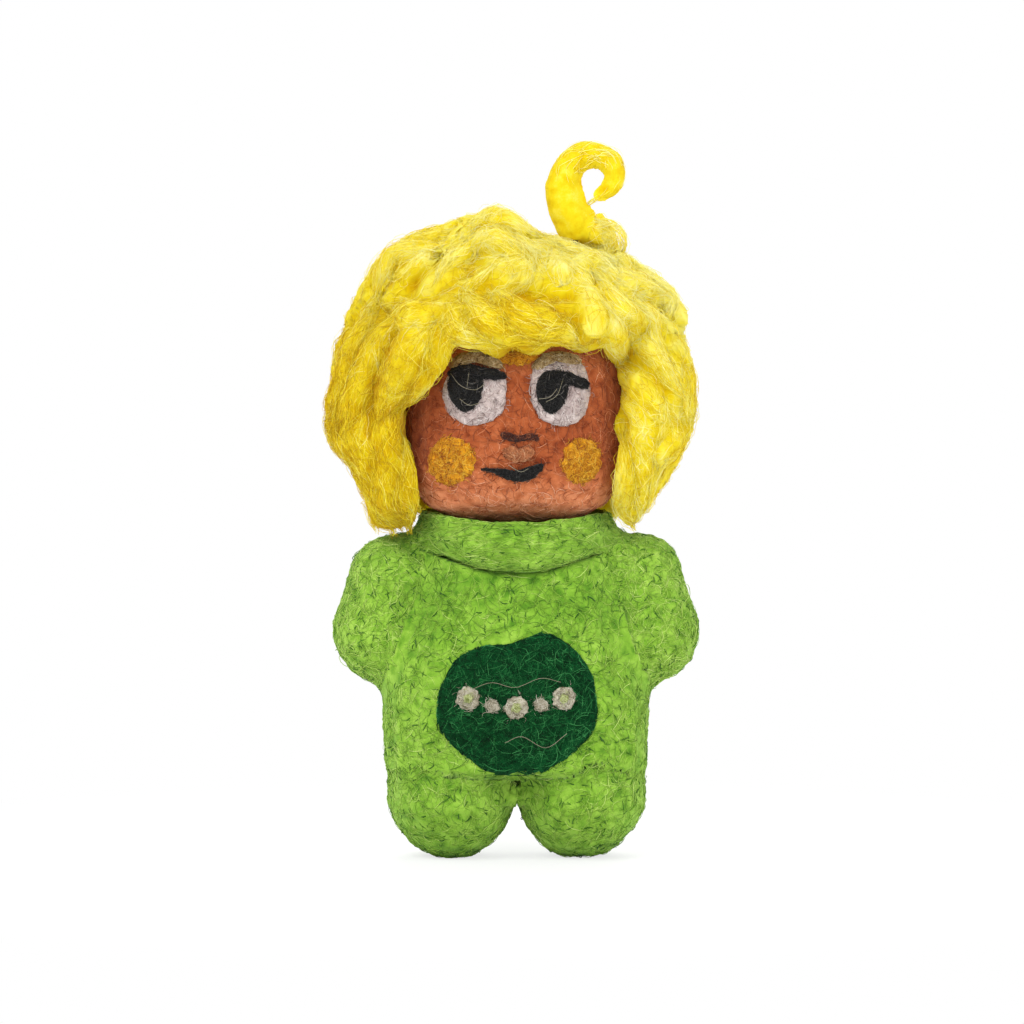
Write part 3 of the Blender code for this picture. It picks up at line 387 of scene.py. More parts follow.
def nearest(trees, points):
    """For each point the nearest one on a tree's or trees' faces, the normal there and how far it is."""
    if isinstance(trees, BVHTree):
        found = [trees.find_nearest(p) for p in points.tolist()]
    else:
        found = [min((tree.find_nearest(p) for tree in trees), key=lambda f: f[3]) for p in points.tolist()]
    spots = np.array([f[0] for f in found])
    normals = np.array([f[1] for f in found])
    return spots, normals, np.array([f[3] for f in found])


def tubes(paths, radii, sides=3):
    """Thin closed tubes along paths, an array of strands by points by 3.

    Gives their points, walls and end faces, and both kinds of face in a unit cell for baking."""
    count, steps, _ = paths.shape
    along = unit(np.gradient(paths, axis=1))
    across = np.empty_like(paths)
    side = np.cross(along[:, 0], (0.31, 0.79, 0.53))
    for k in range(steps):
        side = unit(side - along[:, k] * (side * along[:, k]).sum(axis=1, keepdims=True))
        across[:, k] = side
    other = np.cross(along, across)
    turn = 2 * np.pi * np.arange(sides) / sides
    ring = across[:, :, None] * np.cos(turn)[:, None] + other[:, :, None] * np.sin(turn)[:, None]
    points = (paths[:, :, None] + ring * radii[:, :, None, None]).reshape(-1, 3)
    index = np.arange(count * steps * sides).reshape(count, steps, sides)
    after = np.roll(index, -1, axis=2)
    walls = np.stack([index[:, :-1], after[:, :-1], after[:, 1:], index[:, 1:]], axis=-1)
    ends = np.stack([index[:, 0, ::-1], index[:, -1]], axis=1)
    low, near = np.meshgrid(np.arange(steps - 1), np.arange(sides), indexing="ij")
    far, high = (near + 1) / sides, (low + 1) / (steps - 1)
    low, near = low / (steps - 1), near / sides
    wall_cell = np.stack([low, near, low, far, high, far, high, near], axis=-1)
    wall_cell = wall_cell.reshape(steps - 1, sides, 4, 2)
    rim = np.column_stack([0.06 * (np.arange(sides) == 1), np.arange(sides) / sides])
    end_cell = np.stack([rim[::-1], (1, 0) + rim * (-1, 1)])
    return points, walls, ends, wall_cell, end_cell


def strand_piece(name, strands, wool, body):
    """One piece from groups of strands, each a tuple of paths, radii and tones."""
    points, walls, ends, tones, wall_map, end_map = [], [], [], [], [], []
    cells = math.ceil(math.sqrt(sum(len(paths) for paths, _, _ in strands)))
    used = strand = 0
    for paths, radii, tone in strands:
        spots, wall, end, wall_cell, end_cell = tubes(paths, radii)
        number = np.arange(strand, strand + len(paths))
        corner = np.column_stack([number % cells, number // cells])[:, None, None, None] + CELL_MARGIN
        points.append(spots)
        walls.append((wall + used).reshape(-1, 4))
        ends.append((end + used).reshape(-1, 3))
        wall_map.append((corner + wall_cell * (1 - 2 * CELL_MARGIN)).reshape(-1, 2))
        end_map.append((corner[:, 0] + end_cell * (1 - 2 * CELL_MARGIN)).reshape(-1, 2))
        tones.append(np.repeat(tone.ravel(), 3))
        used += len(spots)
        strand += len(paths)
    faces = [np.concatenate(walls), np.concatenate(ends)]
    piece = new_piece(name, np.concatenate(points), faces, wool, np.concatenate(tones), body)
    places = np.concatenate(wall_map + end_map) / cells
    piece.data.uv_layers.new(name="OFBake").data.foreach_set("uv", places.astype(np.float32).ravel())
    return piece


# Felt


def evened(piece, voxel, smoothing):
    """Gives a piece an even fine mesh, with overlapping shells made one."""
    bpy.context.scene.collection.objects.link(piece)
    remesh = piece.modifiers.new("even", "REMESH")
    remesh.mode = "VOXEL"
    remesh.voxel_size = voxel * MM
    smooth = piece.modifiers.new("smooth", "SMOOTH")
    smooth.factor = 0.5
    smooth.iterations = smoothing
    graph = bpy.context.evaluated_depsgraph_get()
    mesh = bpy.data.meshes.new_from_object(piece.evaluated_get(graph))
    piece.modifiers.clear()
    piece.data = mesh
    return piece


def fine_copy(name, node, voxel, smoothing):
    """A new object with a CAD node's form in an even fine mesh."""
    return evened(bpy.data.objects.new(name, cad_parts[node].data.copy()), voxel, smoothing)


def merged(name, parts, voxel, smoothing):
    """A scratch object of one even mesh round several parts, each its points in mm and its triangles."""
    starts = np.cumsum([0] + [len(spots) for spots, _ in parts])
    points = np.concatenate([spots for spots, _ in parts])
    faces = np.concatenate([corners + start for (_, corners), start in zip(parts, starts)])
    return evened(bpy.data.objects.new(name, new_mesh(name, points, [faces])), voxel, smoothing)


def shared_skin(pieces, grow):
    """A search tree over one skin round several pieces, with the gaps up to twice grow filled."""
    parts = [(points_of(p.data) + normals_of(p.data) * grow, corners_of(p.data)) for p in pieces]
    skin = merged("skin", parts, 0.5, 8)
    set_points(skin.data, points_of(skin.data) - normals_of(skin.data) * grow)
    tree = tree_of(skin.data)
    bpy.data.objects.remove(skin)
    return tree


def swell(pieces, most, where=None):
    """Swells pieces against each other where they stand apart by less than twice the most."""
    moved = []
    for piece in pieces:
        others = [tree_of(other.data) for other in pieces if other is not piece]
        points, normals = points_of(piece.data), normals_of(piece.data)
        room = np.full(len(points), np.inf)
        for number, (spot, normal) in enumerate(zip(points.tolist(), normals.tolist())):
            for tree in others:
                hit = tree.ray_cast(spot, normal, 2 * most)
                if hit[0] is not None:
                    room[number] = min(room[number], hit[3])
        room = np.minimum(room, 2 * most)
        step = (room / 2 - 0.06) * ramp(2 * most - room, 0.5 * most)
        if where:
            step = step * where(points)
        moved.append(points + normals * np.clip(step, 0, most)[:, None])
    for piece, points in zip(pieces, moved):
        set_points(piece.data, points)


def meet(piece, skin, reach, where=None, inward=False):
    """Draws a piece's rims out to the skin that it shares with its neighbours, or in to it too."""
    points = points_of(piece.data)
    spots, normals, far = nearest(skin, points)
    rise = ((spots - points) * normals).sum(axis=1)
    share = ramp(reach - far, reach * 0.4)
    if not inward:
        share = share * ramp(rise, 0.05)
    if where:
        share = share * where(points)
    set_points(piece.data, points + (spots - points) * share[:, None])


def felt(
    name, node, body, wool, seed,
    voxel=0.4, smoothing=4, lump=0.3, lump_size=6.0, dimple=0.16, reshape=None, base=0.42, shade=None,
):
    """A felted piece with a CAD node's form: soft lumps, and dimples where the needle went in."""
    piece = fine_copy(name, node, voxel, smoothing)
    mesh = piece.data
    points, normals = points_of(mesh), normals_of(mesh)
    if reshape:
        points = reshape(points)
    noise = Noise(seed)
    lumps = noise(points, lump_size) * lump + noise(points + 40, lump_size / 2.4) * lump * 0.35
    pits = np.clip(noise(points + 80, PIT_SIZE) * 1.5 - 0.1, 0, 1)
    pits += 0.5 * np.clip(noise(points + 120, FINE_PIT_SIZE), 0, 1)
    points = points + normals * (lumps - pits * dimple)[:, None]
    set_points(mesh, points)
    # Painted shade: the tone is darker in the needle's pits, and shade adds more painted light and shade
    tone = base + 0.10 * noise(points + 160, CLOUD_SIZE) - 0.25 * pits
    if shade:
        tone = tone + shade(points)
    return dress(piece, wool, tone, body, [node])


def scatter(piece, count, rng, keep=None):
    """Random points on a piece's faces, spread by area, with the normals there."""
    points = points_of(piece.data)[corners_of(piece.data)]
    normals = np.cross(points[:, 1] - points[:, 0], points[:, 2] - points[:, 0])
    areas = np.linalg.norm(normals, axis=1)
    tries = count * 4
    chosen = rng.choice(len(areas), size=tries, p=areas / areas.sum())
    a, b = rng.random(tries), rng.random(tries)
    a, b = np.where(a + b > 1, 1 - a, a)[:, None], np.where(a + b > 1, 1 - b, b)[:, None]
    near, far, third = points[chosen].transpose(1, 0, 2)
    where, facing = near + (far - near) * a + (third - near) * b, unit(normals[chosen])
    if keep:
        held = keep(where, facing)
        where, facing = where[held], facing[held]
    return where[:count], facing[:count]


def lay_fibres(
    piece, count, rng, keep=None, length=2.4, radius=0.045, lift=0.1, steps=5, wander=0.4,
    grain=None, tone=(0.6, 0.16), shade=None, over=None,
):
    """Fibres that walk over a piece's surface from random spots: paths, radii and tones.

    grain turns spots and normals into the direction in which fibres mostly lie, shade turns spots into a change
    of tone that paints light and shade, and over is a tree of other surfaces they may walk on to."""
    spots, normals = scatter(piece, count, rng, keep)
    count = len(spots)
    tree = over or tree_of(piece.data)
    heading = rng.normal(size=(count, 3))
    if grain:
        way, share = grain(spots, normals)
        heading = unit(heading) * (1 - share) + way * share * rng.choice((-1, 1), size=(count, 1))
    tones = np.clip(rng.normal(tone[0], tone[1], count), 0, 1.1)
    if shade:
        tones = tones + shade(spots)
    lengths = length * rng.uniform(0.6, 1.4, count)
    bend = rng.normal(0, wander, count)
    path = np.empty((count, steps, 3))
    high = lift * rng.gamma(2.0, 0.5, count)
    for k in range(steps):
        share = k / (steps - 1)
        if k:
            spots, found, _ = nearest(tree, spots + heading * (lengths / (steps - 1))[:, None])
            normals = unit(normals + found)
        heading = unit(heading - normals * (heading * normals).sum(axis=1, keepdims=True))
        rise = high * math.sin(math.pi * (0.08 + 0.84 * share)) - 0.03
        path[:, k] = spots + normals * rise[:, None]
        turned = np.cross(normals, heading)
        heading = unit(heading + turned * (bend + rng.normal(0, wander / 2, count))[:, None])
    taper = 0.55 + 0.45 * np.sin(np.pi * np.linspace(0.1, 0.9, steps))
    radii = radius * rng.uniform(0.6, 1.35, count)[:, None] * taper
    return path, radii, np.repeat(tones[:, None], steps, axis=1)


def facing_out(axis, flat=False):
    """A keep function: faces that look away from an axis point, or from the upright line through it."""

    def keep(points, normals):
        away = points - axis
        if flat:
            away[:, 2] = 0
        return (unit(away) * normals).sum(axis=1) > 0.05

    return keep


def clear_of(*nodes, gap=0.7):
    """A keep function: faces that don't lie in the narrow gap against other CAD nodes."""
    tree = tree_of(*(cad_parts[n].data for n in nodes))

    def keep(points, normals):
        return nearest(tree, points)[2] > gap

    return keep


def both(*keeps):
    def keep(points, normals):
        return np.all([part(points, normals) for part in keeps], axis=0)

    return keep


# Body, limbs, collar


def around_neck(points, normals):
    """Fibres of the collar run round it."""
    return unit(np.cross(normals, (0, 0, 1)) + 1e-6), 0.8


def widen_leg(side):
    """Fills the leg's form out to the straight flank and in to meet the other leg."""

    def reshape(points):
        points = points.copy()
        out = points[:, 0] * side - LEG_AXIS_X
        low = ramp(17.0 - points[:, 2], 4.0) * ramp(points[:, 2] - 2.0, 5.0)
        points[:, 0] += side * low * np.where(out > 0, 0.75, 0.25) * np.clip(out / 6.0, -1, 1)
        points[:, 1] *= 1 + 0.07 * low
        return points

    return reshape


def above_crotch(points):
    """1 where the legs run together with the torso, 0 at the notch between the feet."""
    return np.maximum(ramp(np.abs(points[:, 0]) - 2.6, 1.6), ramp(points[:, 2] - 7.2, 1.4))


def at_shoulder(points):
    """1 out where the collar, the torso and an arm come together."""
    return ramp(np.abs(points[:, 0]) - 10.2, 1.6)


def raise_collar(points):
    """Lifts the outer ridge of the collar's upper edge, up against the chin."""
    points = points.copy()
    outer = ramp(np.hypot(points[:, 0], points[:, 1] * 1.14) - 9.6, 1.4)
    points[:, 2] += COLLAR_LIFT * outer * ramp(points[:, 2] - 43.5, 3.5)
    return points


def painted_body_shade(points):
    """Painted light and shade: darker at the armpits, the throat and the soles, and paler out on the arms."""
    across, high = np.abs(points[:, 0]), points[:, 2]
    tone = -0.10 * np.exp(-((across - 12.0) ** 2 + (high - 36.0) ** 2) / 18.0)
    tone -= 0.08 * np.exp(-(across**2 + (high - 37.0) ** 2) / 60.0)
    tone -= 0.12 * ramp(2.2 - high, 2.0)
    return tone + 0.05 * ramp(across - 13.0, 8.0)


def collar_shade(points):
    """Dark inside the collar, where it is in the chin's shadow."""
    inside = ramp(10.6 - np.hypot(points[:, 0], points[:, 1] * 1.16), 1.2)
    return painted_body_shade(points) - 0.5 * inside * (points[:, 2] > 43)


def felt_layer(name, piece, count, rng, keep, body, **options):
    """Long fibres and short dark strokes over a piece; the strokes are painted shade, the gaps between bundles
    of fibres.
    """
    options = dict(shade=painted_body_shade) | options
    # Painted shade: short dark strokes for the gaps between bundles of fibres
    dark = dict(options, length=1.0, radius=0.08, steps=4, wander=0.25, tone=(0.1, 0.07), grain=None)
    strands = [
        lay_fibres(piece, count, rng, keep, **options),
        lay_fibres(piece, round(count * SHADE_STROKE_SHARE), rng, keep, **dark),
    ]
    return strand_piece(name, strands, "lime_wool", body)


def add_body():
    """Torso, collar and limbs, each with its own layer of fibres."""
    rng = np.random.default_rng(11)
    lime = dict(wool="lime_wool", base=0.58, shade=painted_body_shade)
    torso = felt("torso_felt", "body_skin", "torso", seed=21, **lime)
    ridged = lime | dict(voxel=0.3, lump=0.25, lump_size=4.0, reshape=raise_collar, shade=collar_shade)
    collar = felt("collar_felt", "collar", "torso", seed=22, **ridged)
    limbs = {}
    for side, hand in ((1, "left"), (-1, "right")):
        leg = dict(seed=26 + side, lump=0.2, reshape=widen_leg(side))
        for name, options in ((f"{hand}_arm", dict(seed=23 + side)), (f"{hand}_leg", leg)):
            limbs[name] = felt(f"{name}_felt", name, None, **lime, **options)
    arms = [torso, limbs["left_arm"], limbs["right_arm"]]
    legs = [torso, limbs["left_leg"], limbs["right_leg"]]
    for pieces, where in ((arms, None), (legs, above_crotch), ([collar, *arms], at_shoulder)):
        swell(pieces, most=1.6, where=where)
        skin = shared_skin(pieces, grow=1.9)
        for piece in pieces:
            meet(piece, skin, reach=2.4, where=where)
    whole = tree_of(torso.data, *(limb.data for limb in limbs.values()))
    by_hands = clear_of("left_arm", "right_arm", gap=2.4)
    keep = both(
        facing_out(TORSO_AXIS, flat=True),
        clear_of("collar", "belly_patch", "body_core", "neck_wrap", gap=0.5),
        clear_of(*limbs, gap=LIMB_GAP),
        lambda p, n: (p[:, 2] > 34.0) | by_hands(p, n),
    )
    for name, side in (("torso_fibres_front", -1), ("torso_fibres_back", 1)):
        half = both(lambda p, n, side=side: p[:, 1] * side > 0, keep)
        felt_layer(name, torso, 4600, rng, half, "torso", over=whole)
    keep = facing_out((0.0, 0.0, 43.0), flat=True)
    round_neck = dict(length=3.8, grain=around_neck, wander=0.15, tone=(0.64, 0.14))
    felt_layer("collar_fibres", collar, 2200, rng, keep, "torso", **round_neck)
    for name, limb in limbs.items():
        count, tone = (3400, (0.66, 0.16)) if name.endswith("arm") else (3000, (0.6, 0.16))
        keep = clear_of("body_skin", "body_core", "collar", gap=LIMB_GAP)
        fibres = felt_layer(f"{name}_fibres", limb, count, rng, keep, None, tone=tone)
        for piece in (limb, fibres):
            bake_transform(piece)
    return torso


def add_cores():
    """The undyed wool inside, which the wires run through, and the steel of the wires."""
    core = dict(wool="core_wool", smoothing=1, lump=0.0)
    felt("body_core_felt", "body_core", "torso", seed=31, dimple=0.05, **core)
    felt("head_core_felt", "head_core", "head", seed=32, dimple=0.05, **core)
    # Painted shade: the neck wrap takes the core wool's darkest shade, so that it reads as the shadow under the
    # chin
    felt("neck_wrap_felt", "neck_wrap", "neck_bend", seed=33, voxel=0.2, dimple=0.03, base=-0.1, **core)
    for name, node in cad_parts.items():
        if name.endswith(("_wire", "_strand")):
            node.data.materials.clear()
            node.data.materials.append(STEEL)


# Dabs


def front_of(piece):
    """A function that gives the front surface's Y, in mm, at places given by X and Z."""
    tree = tree_of(piece.data)

    def front(places):
        depths = []
        for x, z in places.tolist():
            hit = tree.ray_cast((x, -60.0, z), (0, 1, 0))
            depths.append(hit[0].y if hit[0] else np.nan)
        depths = np.array(depths)
        depths[np.isnan(depths)] = np.nanmean(depths)
        return depths

    front.tree = tree
    return front


def through(rows, t):
    """Places between the second and the third of four rows, on a smooth line through all four."""
    a, b, c, d = rows
    return 0.5 * (2 * b + (c - a) * t + (2 * a - 5 * b + 4 * c - d) * t**2 + (3 * b - a - 3 * c + d) * t**3)


def rounded_outline(corners, count=48):
    """A smooth closed outline of many points through a few corners."""
    corners = np.asarray(corners, float)
    at = np.arange(count) * len(corners) / count
    low = at.astype(int)
    return through([corners[(low + k) % len(corners)] for k in (-1, 0, 1, 2)], (at - low)[:, None])


def smooth_line(points, count):
    """A smooth line of many points through a few, in any number of dimensions."""
    points = np.asarray(points, float)
    padded = np.concatenate([2 * points[:1] - points[1:2], points, 2 * points[-1:] - points[-2:-1]])
    at = np.linspace(0, len(points) - 1, count)
    low = np.minimum(at.astype(int), len(points) - 2)
    return through([padded[low + k] for k in range(4)], (at - low)[:, None])


def band_outline(line):
    """The outline of a stroke through pixels, each with the stroke's half width there in pixels."""
    line = np.asarray(line, float)
    middle = np.column_stack(at_pixel(line[:, 0], line[:, 1]))
    half = line[:, 2] * MM_PER_PIXEL
    along = unit(np.gradient(middle, axis=0))
    across = np.column_stack([-along[:, 1], along[:, 0]])
    upper, lower = middle + across * half[:, None], middle - across * half[:, None]
    return np.concatenate([upper, lower[::-1]])


def outline_of(marks):
    """Corners in mm from pixels: an outline's x and y, or a stroke's x, y and half width."""
    return band_outline(marks) if len(marks[0]) == 3 else [at_pixel(x, y) for x, y in marks]


def box_of(node):
    """The lowest and the highest corner of a CAD node, in mm."""
    return (np.array(v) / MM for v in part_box(node))


def dot_outline(node):
    """Corners round a CAD node as it is seen from the front."""
    low, high = box_of(node)
    middle, half = (low + high) / 2, (high - low) / 2
    turn = 2 * np.pi * np.arange(10) / 10
    return np.column_stack([middle[0] + half[0] * np.cos(turn), middle[2] + half[2] * np.sin(turn)])


# How far a dab's outline stays inside the one in the photograph, where fibres reach past it
INSET = 0.18

# Where the rings of a dab lie between its centre and its outline
RINGS = np.array([0.12, 0.3, 0.48, 0.64, 0.78, 0.89, 0.96, 1.0])


def add_dab(
    name, node, corners, front, wool, body, lift, thickness, seed, fibres, ragged=0.14, length=1.5
):
    """A felted dab: a low cushion of wool with a ragged edge, and fibres laid over it."""
    outline = rounded_outline(corners)
    centre = outline.mean(axis=0)
    noise = Noise(seed)
    flat = np.column_stack([outline[:, 0], np.full(len(outline), seed * 3.1), outline[:, 1]])
    outline = outline + unit(outline - centre) * (noise(flat, 0.55) * ragged - INSET)[:, None]
    rings = centre + (outline - centre) * RINGS[:, None, None]
    places = np.concatenate([[centre], rings.reshape(-1, 2)])
    depths = front(places)
    share = np.concatenate([[0.0], np.repeat(RINGS, len(outline))])
    full = np.sqrt(np.clip(1 - share**3, 0, 1)) * thickness
    top = np.column_stack([places[:, 0], depths - lift - full, places[:, 1]])
    top[:, 1] += 0.1 * noise(top, 1.1) * (share < 0.95)
    under = np.column_stack([places[:, 0], depths - lift + 0.12, places[:, 1]])
    points = np.concatenate([top, under])
    around, levels = len(outline), len(RINGS)
    index = 1 + np.arange(levels * around).reshape(levels, around)
    after = np.roll(index, -1, axis=1)
    quads = np.stack([index[:-1], after[:-1], after[1:], index[1:]], axis=-1).reshape(-1, 4)
    fan = np.column_stack([np.zeros(around, int), after[0], index[0]])
    low = len(top)
    rim = np.stack([index[-1], after[-1], after[-1] + low, index[-1] + low], axis=-1)
    walls = [quads, quads[:, ::-1] + low, rim, fan[:, ::-1], fan + low]
    if np.cross(outline[1] - outline[0], centre - outline[0]) > 0:
        walls = [w[:, ::-1] for w in walls]
    tone = np.clip(0.4 + 0.3 * noise(points, 0.9), 0, 1)
    dab = new_piece(name, points, walls, wool, tone, body, [node])
    rng = np.random.default_rng(seed)
    facing = dict(keep=lambda p, n: n[:, 1] < -0.5, wander=0.5)
    past = dict(over=(tree_of(dab.data), front.tree), wander=0.5)
    strands = [
        lay_fibres(dab, fibres, rng, length=length, radius=0.04, tone=(0.55, 0.22), **facing),
        # Short dark fibres: painted shade, the gaps between bundles of fibres
        lay_fibres(dab, fibres // 5, rng, length=0.8, radius=0.07, tone=(0.1, 0.1), **facing),
        lay_fibres(dab, fibres // 2, rng, length=1.2, radius=0.035, tone=(0.5, 0.2), **past),
    ]
    strand_piece(f"{name}_fibres", strands, wool, body)
    return dab


# Face and belly by the photograph's pixels: x and y on an outline, or x, y and half width of a stroke
EYES = {
    "right": {
        "white": (
            (474, 425), (458, 420), (447, 407), (443, 392), (446, 378), (456, 371), (480, 368), (500, 369),
            (507, 380), (507, 397), (503, 412), (490, 421),
        ),
        "pupil": (
            (466, 412), (455, 405), (449, 393), (448, 380), (453, 371), (466, 368), (480, 371), (485, 380),
            (483, 394), (477, 406),
        ),
        "lash": (
            (449, 374, 2.6), (460, 370, 5.0), (474, 370, 6.0), (488, 373, 6.0), (499, 375, 4.6),
            (506, 376, 2.0),
        ),
        "lid": (
            (451, 368, 3.0), (458, 361, 5.0), (468, 357, 6.2), (480, 356, 6.4), (492, 359, 5.6),
            (502, 366, 3.0),
        ),
    },
    "left": {
        "white": (
            (556, 425), (541, 419), (532, 405), (529, 388), (531, 370), (540, 359), (556, 356), (574, 358),
            (585, 368), (589, 386), (588, 404), (581, 418), (569, 425),
        ),
        "pupil": (
            (550, 414), (540, 406), (535, 392), (536, 379), (543, 371), (555, 369), (566, 372), (569, 383),
            (566, 397), (559, 409),
        ),
        "lash": ((556, 374, 4.0), (566, 377, 6.4), (576, 381, 6.6), (584, 384, 4.6), (588, 387, 2.0)),
        "lid": (
            (533, 369, 3.0), (539, 362, 5.0), (549, 357, 5.6), (560, 356, 5.4), (571, 358, 4.6),
            (579, 363, 2.6),
        ),
    },
}
CHEEKS = {
    "right": (
        (453, 483), (439, 480), (430, 468), (428, 455), (436, 441), (449, 435), (464, 437), (475, 447),
        (477, 461), (470, 475),
    ),
    "left": (
        (580, 483), (569, 479), (562, 468), (561, 453), (567, 441), (579, 436), (592, 439), (599, 450),
        (600, 464), (592, 477),
    ),
}
NOSE_LINE = (
    (501, 433, 2.0), (508, 435, 3.8), (517, 437, 4.0), (527, 435, 3.8), (534, 435, 3.0), (539, 438, 1.6),
)
LIP = ((517, 461), (505, 456), (502, 449), (510, 443), (520, 445), (531, 443), (535, 450), (529, 458))
MOUTH = (
    (481, 467, 1.2), (491, 468, 2.2), (500, 470, 4.0), (510, 473, 5.6), (520, 474, 6.0), (530, 472, 5.6),
    (538, 467, 4.2), (543, 462, 2.0),
)
BROW = ((515, 366), (500, 362), (494, 354), (502, 347), (516, 345), (531, 348), (538, 356), (530, 364))
BELLY_PATCH = (
    (541, 628), (559, 634), (579, 649), (591, 669), (596, 694), (595, 719), (581, 739), (556, 759),
    (527, 772), (499, 770), (474, 757), (452, 739), (439, 721), (437, 706), (442, 679), (454, 657),
    (472, 644), (492, 639), (514, 637),
)
STRAY_HAIRS = (
    ((452, 373), (462, 385), (476, 389), (486, 383)),
    ((461, 398), (470, 404), (480, 402)),
    ((470, 372), (468, 386)),
    ((562, 378), (556, 394), (545, 401)),
    ((538, 398), (549, 396), (556, 388)),
    ((508, 462), (520, 469), (528, 466)),
    ((470, 684), (492, 676), (515, 681), (540, 672), (560, 676)),
    ((505, 735), (522, 729), (545, 740), (566, 726)),
    ((455, 700), (470, 690), (490, 702)),
)

def painted_face_light(points):
    """Painted light and shade: lighter at the chin and up under the hair, and darker on the cheeks between."""
    high = points[:, 2]
    return 0.39 * ramp(55.5 - high, 5.0) + 0.19 * ramp(high - 66.0, 4.0) - 0.11


def square_jaw(points):
    """Fills the head's form out to the broad jaw."""
    share = (points - HEAD_CENTRE) / HEAD_HALF
    away = unit(share)
    flat = np.clip(np.hypot(away[:, 0], away[:, 2]), 0.01, 1)
    fuller = flat / (np.abs(away[:, [0, 2]]) ** JAW_POWER).sum(axis=1) ** (1 / JAW_POWER)
    low = ramp(60.0 - points[:, 2], 5.0) * np.clip(-share[:, 1] * 1.5 + 0.6, 0, 1)
    scale = 1 + (fuller - 1) * low
    moved = points.copy()
    moved[:, 0] = HEAD_CENTRE[0] + (points[:, 0] - HEAD_CENTRE[0]) * scale
    moved[:, 2] = HEAD_CENTRE[2] + (points[:, 2] - HEAD_CENTRE[2]) * (1 + (scale - 1) * 0.6)
    return moved


def add_face():
    """Head skin and the felted dabs of the face."""
    rng = np.random.default_rng(51)
    low_relief = dict(voxel=0.35, lump=0.14, lump_size=5.0, dimple=0.1)
    head = felt(
        "head_felt", "head_skin", "head", "skin_wool", 52, shade=painted_face_light, reshape=square_jaw, **low_relief
    )
    laid = dict(keep=facing_out(HEAD_CENTRE), lift=0.07, wander=0.5, shade=painted_face_light)
    strands = [
        lay_fibres(head, 6400, rng, length=2.2, radius=0.038, tone=(0.48, 0.22), **laid),
        # Short dark fibres: painted shade, the gaps between bundles of fibres
        lay_fibres(head, 1300, rng, length=0.9, radius=0.07, steps=4, tone=(0.08, 0.08), **laid),
    ]
    strand_piece("head_fibres", strands, "skin_wool", "head")
    skin = front_of(head)

    def dab(name, node, marks, wool, *sizes, on=skin, **options):
        return add_dab(f"{name}_felt", node, outline_of(marks), on, wool, "head", *sizes, **options)

    for side, eye in EYES.items():
        white = dab(f"{side}_eye", f"{side}_eye_white", eye["white"], "white_wool", 0.15, 0.75, 61, 420)
        dab(f"{side}_lid", f"{side}_eyelid", eye["lid"], "tan_wool", 0.25, 0.7, 62, 240, ragged=0.25)
        pupil, lash = f"{side}_pupil", f"{side}_lash"
        dab(pupil, pupil, eye["pupil"], "black_wool", 0.1, 0.55, 63, 300, on=front_of(white))
        dab(lash, lash, eye["lash"], "black_wool", 0.75, 0.75, 64, 200, ragged=0.2)
    for side, marks in CHEEKS.items():
        dab(f"{side}_cheek", f"{side}_cheek", marks, "cheek_wool", 0.05, 0.5, 65, 420, ragged=0.35)
    dab("nose_line", "nose_line", NOSE_LINE, "brown_wool", 0.05, 0.4, 66, 90, ragged=0.2, length=0.9)
    dab("lip", "upper_lip", LIP, "lip_wool", 0.05, 0.6, 67, 160, ragged=0.25)
    dab("mouth", "mouth", MOUTH, "black_wool", 0.1, 0.55, 68, 200, ragged=0.15, length=1.0)
    dab("brow", "brow_dab", BROW, "cheek_wool", 0.05, 0.5, 69, 200, ragged=0.3)
    return head


def add_patch(torso):
    """The belly patch, with a row of five plain dots."""

    def dab(node, corners, on, wool, *sizes, **options):
        return add_dab(f"{node}_felt", node, corners, on, wool, "torso", *sizes, **options)

    marks = outline_of(BELLY_PATCH)
    sizes = (0.1, 0.9, 71, 2600)
    patch = dab("belly_patch", marks, front_of(torso), "dark_green_wool", *sizes, ragged=0.2, length=3.6)
    on_patch = front_of(patch)
    for number in range(1, 6):
        dot, sizes = f"patch_dot_{number}", (0.05, 0.55, 72 + number, 130)
        felted = dab(dot, dot_outline(dot), on_patch, "cream_wool", *sizes, ragged=0.25, length=1.0)
        if number % 2:
            dot, sizes = f"{dot}_centre", (0.0, 0.35, 82 + number, 40)
            dab(dot, dot_outline(dot), front_of(felted), "pale_green_wool", *sizes, ragged=0.15, length=0.9)


def add_stray_hairs(head, torso):
    """Single pale hairs that cross the eyes, the mouth and the patch."""
    steps = 16
    for name, body, piece, hairs, lift in (
        ("stray_hairs_face", "head", head, STRAY_HAIRS[:6], 1.75),
        ("stray_hairs_patch", "torso", torso, STRAY_HAIRS[6:], 1.3),
    ):
        front = front_of(piece)
        strands = []
        for hair in hairs:
            line = smooth_line(outline_of(hair), steps)
            path = np.column_stack([line[:, 0], front(line) - lift, line[:, 1]])[None]
            strands.append((path, np.full((1, steps), 0.03), np.full((1, steps), 0.3)))
        strand_piece(name, strands, "cream_wool", body)
# Hair
LOCK_STEPS = 16
MOST_STRANDS = 4600
CAP_LOCKS = 16
CAP_LOCK_LEAN = 0.22
CAP_LOCK_WAVES = 2.6
HANGING_BELOW = 50.0
HAIR_NODES = ("hair_cap", "hair_fringe", "right_side_lock", "left_side_lock")

